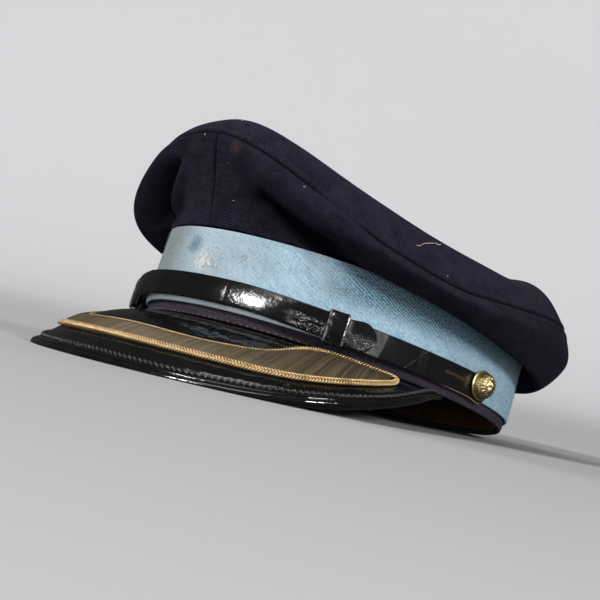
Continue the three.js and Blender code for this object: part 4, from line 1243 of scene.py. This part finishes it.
strap_patent, tree, shader, colour, rough = patent("strap_patent", gloss=0.5)
turned_by, high, inner = (mark(tree, title) for title in ("round", "high", "inner"))
ragged = noise(tree, millimetres(tree), 0.9, 4.0)
raw = span(tree, times(tree, ragged, 0.9, mark(tree, "edge")), 1.08, 1.3)
handled = window(tree, turned_by, (61.0, 64.0), (103.0, 106.0))
leaning = times(tree, ragged, 0.8, times(tree, high, -0.12, turned_by))
# A pale grey patch on the inner length just beyond the tab.
pale_patch = times(tree, window(tree, leaning, (58.0, 59.0), (64.4, 65.0)), inner)
pale_patch = times(tree, pale_patch, span(tree, noise(tree, millimetres(tree), 0.35, 4.0), 0.3, 0.6, 0.4, 0.9))
folded = maths(tree, "SUBTRACT", times(tree, high, -0.5, turned_by), 75.2)
folded = span(tree, maths(tree, "ABSOLUTE", folded), 0.08, 0.3, 1.0, 0.0)
folded = times(tree, folded, span(tree, ragged, 0.4, 0.6))
cracked = span(tree, noise(tree, cloth_place(tree), 0.7, 6.0, 0.75), 0.62, 0.72)
colour = tinted(
    tree, colour,
    (handled, 0.8, DULL_BLACK),
    (pale_patch, 0.6, WEAR_AND_HIGHLIGHT_GREY),
    (folded, 0.35, WEAR_AND_HIGHLIGHT_GREY),
    (cracked, 0.12, WEAR_AND_HIGHLIGHT_GREY),
)
bent = times(tree, span(tree, turned_by, 34.0, 42.0), span(tree, turned_by, 47.0, 57.0, 1.0, 0.6))
bent = times(tree, bent, span(tree, high, -1.5, 2.0, 1.0, 0.0))
bent = times(tree, bent, span(tree, turned_by, 61.0, 64.0, 1.0, 0.0))
crazed = times(tree, noise(tree, millimetres(tree), 1.3, 2.0, 0.6), times(tree, bent, 0.0005, 0.00009))
crazed = times(tree, use(tree, LACQUER, Place=millimetres(tree))["Ripple"], 0.00015, crazed)
tabbed = times(tree, span(tree, turned_by, 52.0, 55.0), span(tree, high, -2.5, 1.0))
tabbed = times(tree, tabbed, maths(tree, "SUBTRACT", 1.0, inner))
gloss = span(tree, tabbed, 0.0, 1.0, 0.5, 0.05)
glints = span(tree, noise(tree, millimetres(tree), 1.1, 2.0, 0.6), 0.52, 0.62, 0.04, 1.3)
rough = times(tree, handled, 0.06, times(tree, rough, 0.5, 0.09))
rough = times(tree, tabbed, 0.5, times(tree, bent, -0.07, rough))
fill(tree, shader, {
    "Base Color": blend(tree, raw, colour, RAW_EDGE),
    "Roughness": times(tree, raw, 0.5, rough),
    "Specular IOR Level": times(tree, bent, maths(tree, "SUBTRACT", glints, gloss), gloss),
    "Coat Weight": span(tree, turned_by, 26.0, 42.0, 0.08, 0.0),
    "Coat Roughness": 0.3,
    "Normal": relief(tree, crazed, 1.0),
})

inner_length = strap_length("strap_inner_leather", -STRAP_TAB, STRAP_END, np.zeros_like)
outer_length = strap_length("strap_outer_leather", -STRAP_END, STRAP_TAB, over_inner)
fit(inner_length, strap_patent, "strap_leather", "strap_inner")
fit(outer_length, strap_patent, "strap_leather", "strap_outer")

slit_share = np.linspace(0, 1, 40)
slit_angle = 86.0 + 9.0 * slit_share
slit_out = strap_lift(slit_angle) + STRAP_WALL + SIDE_BOW + 0.1
slit_up = strap_middle(slit_angle) + np.array([0.2, 1.1])[:, None]
slit_paths = oval(np.radians(slit_angle), slit_out, slit_up)
slit_lift = facing(np.radians(slit_angle))
SIDES = (("left", 1), ("right", -1))
for side_name, sign in SIDES:
    across = [sign, 1, 1]
    slit = piece("strap_slit_" + side_name, tubes(slit_paths * across, 0.16, 6, slit_lift * across))
    fit(slit, thread("slit_edge_" + side_name, SLIT_BROWN), "strap_leather")


# Strap loops: a narrow strip of patent leather wrapped round both lengths of the strap at each side,
# with rounded folds and its ends butted behind.
LOOP_WIDTH = 10.0
LOOP_WALL = 1.0
LOOP_DEEP = 2 * STRAP_WALL + 1.7 + LOOP_WALL
LOOP_HIGH = 2 * STRAP_HALF + 1.4 + LOOP_WALL

loop_turn = full_turn(96)
power = lambda value, root: np.sign(value) * np.abs(value) ** root
loop_facing = LOOP_DEEP / 2 * power(np.cos(loop_turn), 0.35)
loop_up = LOOP_HIGH / 2 * power(np.sin(loop_turn), 0.22)
loop_path = np.stack([loop_facing, loop_up], -1)
loop_along = unit(np.gradient(wrapped(loop_path), axis=0)[1:-1])
loop_out = np.stack([loop_along[:, 1], -loop_along[:, 0]], -1)
loop_depth, loop_width = rounded_wall(LOOP_WALL / 2, LOOP_WALL, -LOOP_WIDTH / 2, LOOP_WIDTH / 2, rows=12)
loop_depth = loop_depth + 0.2 * bump(np.abs(loop_width) - 4.2, 0.5) * (loop_depth > 0.1)
loop_patent, tree, shader, colour, rough = patent("loop_patent", gloss=0.5)
# Painted highlight and wear: the loop's edges are lightened to grey, standing in for the bright lines where
# they catch the light.
loop_rim_highlight_and_wear = span(tree, noise(tree, millimetres(tree), 0.7, 4.0), 0.35, 0.6)
loop_rim_highlight_and_wear = times(tree, mark(tree, "rim"), loop_rim_highlight_and_wear)
fill(tree, shader, {"Base Color": blend(tree, loop_rim_highlight_and_wear, colour, WEAR_AND_HIGHLIGHT_GREY)})
for side_name, sign in SIDES:
    loop_theta = np.radians(sign * LOOP_ANGLE)
    loop_centre = oval(loop_theta, strap_lift(LOOP_ANGLE) + STRAP_WALL + 0.15, strap_middle(LOOP_ANGLE))
    outward = facing(loop_theta)
    upward = unit(UPWARD - LEAN * outward)
    outward = unit(outward - upward * (outward @ upward))
    sideways = np.cross(outward, upward)
    flat = loop_path[:, None] + loop_depth[None, :, None] * loop_out[:, None]
    loop_grid = loop_centre + flat[..., :1] * outward + flat[..., 1:] * upward
    loop_grid = loop_grid + loop_width[None, :, None] * sideways
    loop_rim = {"rim": ease(np.abs(loop_width), 4.0, 4.6)}
    strap_loop = piece("loop_leather_" + side_name, loop_grid, ring=True, marks=loop_rim)
    fit(strap_loop, loop_patent, "strap_leather", "keeper_" + side_name)


# Buttons: hollow domes stamped from thin brass, with a rolled rim, a ring of small beads and a
# rosette of petals in relief. Each holds the end of the strap by its shank.
BUTTON_ANGLE = 100.6
BUTTON_TIP = 7.0  # how far a button tips towards the front on its shank
BUTTON_UP = 12.0
BUTTON_RADIUS = 7.4
BUTTON_RIM = 0.7
BUTTON_DOME = 6.2
PETALS = 6
LEAVES = 16
BEADS = 36
BRASS = (0.950, 0.760, 0.380, 1.0)
DARK_BRASS = (0.170, 0.115, 0.045, 1.0)
RELIEF = 0.42  # height of the stamped pattern

button_turn = full_turn(216)[:, None]
rim_turn = np.linspace(-np.pi / 2, np.pi * 0.8, 16)
rim_radius = BUTTON_RADIUS - 0.4 + 0.4 * np.cos(rim_turn)
rim_height = 0.7 + 0.4 * np.sin(rim_turn)
dome_share = np.sin(np.linspace(0.47, 0, 60) * np.pi)
dome_radius = (BUTTON_RADIUS - BUTTON_RIM) * dome_share
dome_height = BUTTON_RIM + BUTTON_DOME * np.sqrt(1 - dome_share ** 2)
back_radius = np.array([0.0, 3.0, 5.5])
button_radius = np.concatenate([back_radius, rim_radius, dome_radius])
button_height = np.concatenate([np.full(3, 0.1), rim_height, dome_height])
on_dome = np.concatenate([np.zeros(3 + len(rim_turn)), dome_share])
is_dome = np.concatenate([np.zeros(3 + len(rim_turn)), np.ones(len(dome_share))])
petal_edge = 0.26 + 0.26 * np.abs(np.cos(PETALS / 2 * button_turn)) ** 0.7
second_edge = 0.22 + 0.24 * np.abs(np.sin(PETALS / 2 * button_turn)) ** 0.7
petal = ease(petal_edge - on_dome, -0.03, 0.05) * (0.75 - 0.3 * np.abs(np.sin(PETALS * button_turn)))
second = ease(second_edge - on_dome, -0.03, 0.04) * 0.4
heart = 0.5 * ease(0.13 - on_dome, -0.03, 0.05) * (1 + 0.3 * np.cos(8 * button_turn))
leaf_ring = ease(on_dome, 0.54, 0.60) * (1 - ease(on_dome, 0.76, 0.81))
leaves = 0.7 * leaf_ring * ease(np.cos(LEAVES * button_turn + 9 * on_dome), -0.5, 0.5)
bead_ring = 0.5 * bump(on_dome - 0.86, 0.05) * (0.5 + 0.5 * np.cos(BEADS * button_turn))
button_relief = np.maximum.reduce([petal, second, heart, leaves, bead_ring]) * is_dome
button_out = button_height + RELIEF * button_relief * np.sqrt(1 - on_dome ** 2)
button_radius = button_radius + RELIEF * button_relief * on_dome
recess = 1 - np.maximum(button_relief / 0.75, 1 - is_dome)

brass, tree, shader = finish("stamped_brass", Metallic=1.0)
tarnish = use(tree, TARNISH, Place=millimetres(tree), Size=3.5)["Mask"]
hollow = span(tree, mark(tree, "recess"), 0.3, 1.0, 0.0, 0.75)
darkened = maths(tree, "MAXIMUM", hollow, times(tree, tarnish, 0.5))
fill(tree, shader, {
    "Base Color": blend(tree, darkened, BRASS, DARK_BRASS),
    "Roughness": span(tree, darkened, 0.0, 1.0, 0.3, 0.55),
    "Normal": relief(tree, noise(tree, millimetres(tree), 2.2, 3.0), 0.00012),
})
for side_name, sign in SIDES:
    button_theta = np.radians(sign * BUTTON_ANGLE)
    button_face = np.radians(sign * (BUTTON_ANGLE - BUTTON_TIP))
    outward = facing(button_face)
    tip_rise = BUTTON_RADIUS * np.linalg.norm(np.cross(outward, facing(button_theta)))
    button_seat = oval(button_theta, strap_lift(BUTTON_ANGLE) + STRAP_WALL + 0.3 + tip_rise, BUTTON_UP)
    sideways = np.cross(outward, UPWARD)
    button_grid = button_seat + button_out[..., None] * outward
    button_grid = button_grid + (button_radius * np.cos(button_turn))[..., None] * sideways
    button_grid = button_grid + (button_radius * np.sin(button_turn))[..., None] * UPWARD
    button_name = "button_brass_" + side_name
    button = piece(button_name, button_grid, ring=True, tube=False, marks={"recess": recess})
    fit(button, brass, "button_brass", "button_" + side_name)


# Stage: a pale seamless floor that curves up into a wall all round. A soft key in front, a broad light
# overhead and a fill from the right show in the lacquer, and weaker lights at the left, low in front
# and behind open the shadows.
FLOOR_RADIUS = 2.6
WALL_BEND = 1.4
WALL_TOP = 1.5
FLOOR_GREY = (0.25, 0.25, 0.255, 1.0)
WALL_GREY = (0.42, 0.42, 0.428, 1.0)
DAYLIGHT = (0.98, 0.99, 1.0, 1.0)
BEHIND = (-0.727, 0.686, 0.0)  # level direction from the camera past the cap
FLOOR_STEPS = 96

floor_turn = full_turn(FLOOR_STEPS)[:, None]
bend_turn = np.linspace(0, np.pi / 2, 24)
bowl_radius = np.concatenate([
    [0.0, 0.6, 1.4], FLOOR_RADIUS + WALL_BEND * np.sin(bend_turn), [FLOOR_RADIUS + WALL_BEND],
])
bowl_height = np.concatenate([[0.0, 0.0, 0.0], WALL_BEND * (1 - np.cos(bend_turn)), [WALL_TOP]])
bowl = [bowl_radius * np.cos(floor_turn), bowl_radius * np.sin(floor_turn), bowl_height]
bowl = np.stack(np.broadcast_arrays(*bowl), -1)
bowl_row, bowl_column = np.mgrid[0:FLOOR_STEPS, 0:len(bowl_radius) - 1]
bowl_at = lambda row, column: (row % FLOOR_STEPS) * len(bowl_radius) + column
bowl_faces = np.stack([
    bowl_at(bowl_row, bowl_column), bowl_at(bowl_row, bowl_column + 1),
    bowl_at(bowl_row + 1, bowl_column + 1), bowl_at(bowl_row + 1, bowl_column),
], -1).reshape(-1, 4)
floor_mesh = bpy.data.meshes.new("floor")
floor_mesh.from_pydata(bowl.reshape(-1, 3), [], bowl_faces)
floor_mesh.polygons.foreach_set("use_smooth", np.ones(len(bowl_faces), bool))
floor = bpy.data.objects.new("floor", floor_mesh)
bpy.context.collection.objects.link(floor)
paper, tree, shader = finish("floor_paper", Roughness=0.9, Specular_IOR_Level=0.1, Emission_Color=DAYLIGHT)
paper_place = node(tree, "TexCoord", {}).outputs["Object"]
paper_away = node(tree, "VectorMath", {0: paper_place}, operation="LENGTH").outputs["Value"]
paper_behind = node(tree, "VectorMath", {0: paper_place, 1: BEHIND}, operation="DOT_PRODUCT")
paper_tone = span(tree, paper_away, 0.4, 3.4)
fill(tree, shader, {"Base Color": blend(tree, paper_tone, FLOOR_GREY, WALL_GREY)})
# Painted light: the paper behind the cap glows faintly, brightening the backdrop there.
fill(tree, shader, {"Emission Strength": span(tree, paper_behind.outputs["Value"], 0.2, 3.4, 0.0, 0.20)})
floor_mesh.materials.append(paper)
floor.visible_glossy = False

world = bpy.data.worlds.new("studio")
bpy.context.scene.world = world
world.use_nodes = True
sky = world.node_tree
reflected = node(sky, "LightPath", {}).outputs["Is Glossy Ray"]
sky_strength = span(sky, reflected, 0.0, 1.0, 0.12, 0.05)
fill(sky, sky.nodes["Background"], {"Color": DAYLIGHT, "Strength": sky_strength})

LIGHTS = {
    # name: azimuth and height of the light in degrees, distance and size in metres, watts
    "key": (4.0, 33.0, 5.0, 0.66, 290.0),
    "overhead": (20.0, 66.0, 2.6, 1.2, 20.0),
    "fill": (86.0, 21.0, 4.0, 0.80, 140.0),
    "left": (285.0, 20.0, 3.0, 0.8, 72.0),
    "bounce": (40.0, 3.0, 3.0, 1.0, 30.0),
    "back": (205.0, 40.0, 3.0, 1.0, 15.0),
}
AIM = 0.06 * UPWARD


def sight(azimuth, height):
    """Backward and rightward directions of what looks at the cap from an azimuth and a height."""
    azimuth, height = np.radians([azimuth, height])
    right = np.array([np.cos(azimuth), np.sin(azimuth), 0.0])
    return np.cos(height) * np.cross(right, UPWARD) + np.sin(height) * UPWARD, right


def looking(place, right, up, back):
    """Matrix of a light or camera at a place with its own right, up and backward directions."""
    matrix = np.eye(4)
    matrix[:3, 0], matrix[:3, 1], matrix[:3, 2], matrix[:3, 3] = right, up, back, place
    return Matrix(matrix.tolist())


for light_name, (azimuth, height, distance, size, watts) in LIGHTS.items():
    light_back, light_right = sight(azimuth, height)
    lamp = bpy.data.lights.new(light_name, "AREA")
    lamp.shape = "SQUARE"
    lamp.size = size
    lamp.energy = watts
    light = bpy.data.objects.new(light_name, lamp)
    light.visible_glossy = light_name in ("key", "overhead", "fill")
    bpy.context.collection.objects.link(light)
    light_up = np.cross(light_back, light_right)
    light.matrix_world = looking(AIM + distance * light_back, light_right, light_up, light_back)


# Camera: a long lens at the wearer's left front, level with the rim and leaning as the cap leans in
# the view, given in the cap's own frame.
VIEW_AZIMUTH = 47.0
VIEW_HEIGHT = -8.0
VIEW_ROLL = np.radians(17.4)
VIEW_DISTANCE = 1400.0
VIEW_ASIDE = -23.0
VIEW_ABOVE = 32.0
LENS = 168.0

view_back, level = sight(VIEW_AZIMUTH, VIEW_HEIGHT)
steep = np.cross(view_back, level)
view_right = level * np.cos(VIEW_ROLL) + steep * np.sin(VIEW_ROLL)
view_up = steep * np.cos(VIEW_ROLL) - level * np.sin(VIEW_ROLL)
eye = VIEW_ASIDE * level + VIEW_ABOVE * steep + VIEW_DISTANCE * view_back
lens = bpy.data.cameras.new("camera")
lens.lens = LENS
lens.sensor_width = 36.0
lens.clip_end = 20.0
camera = bpy.data.objects.new("camera", lens)
bpy.context.collection.objects.link(camera)
camera.matrix_world = looking(set_down(eye), turned(view_right), turned(view_up), turned(view_back))
bpy.context.scene.camera = camera
bpy.context.scene.view_settings.view_transform = "Standard"
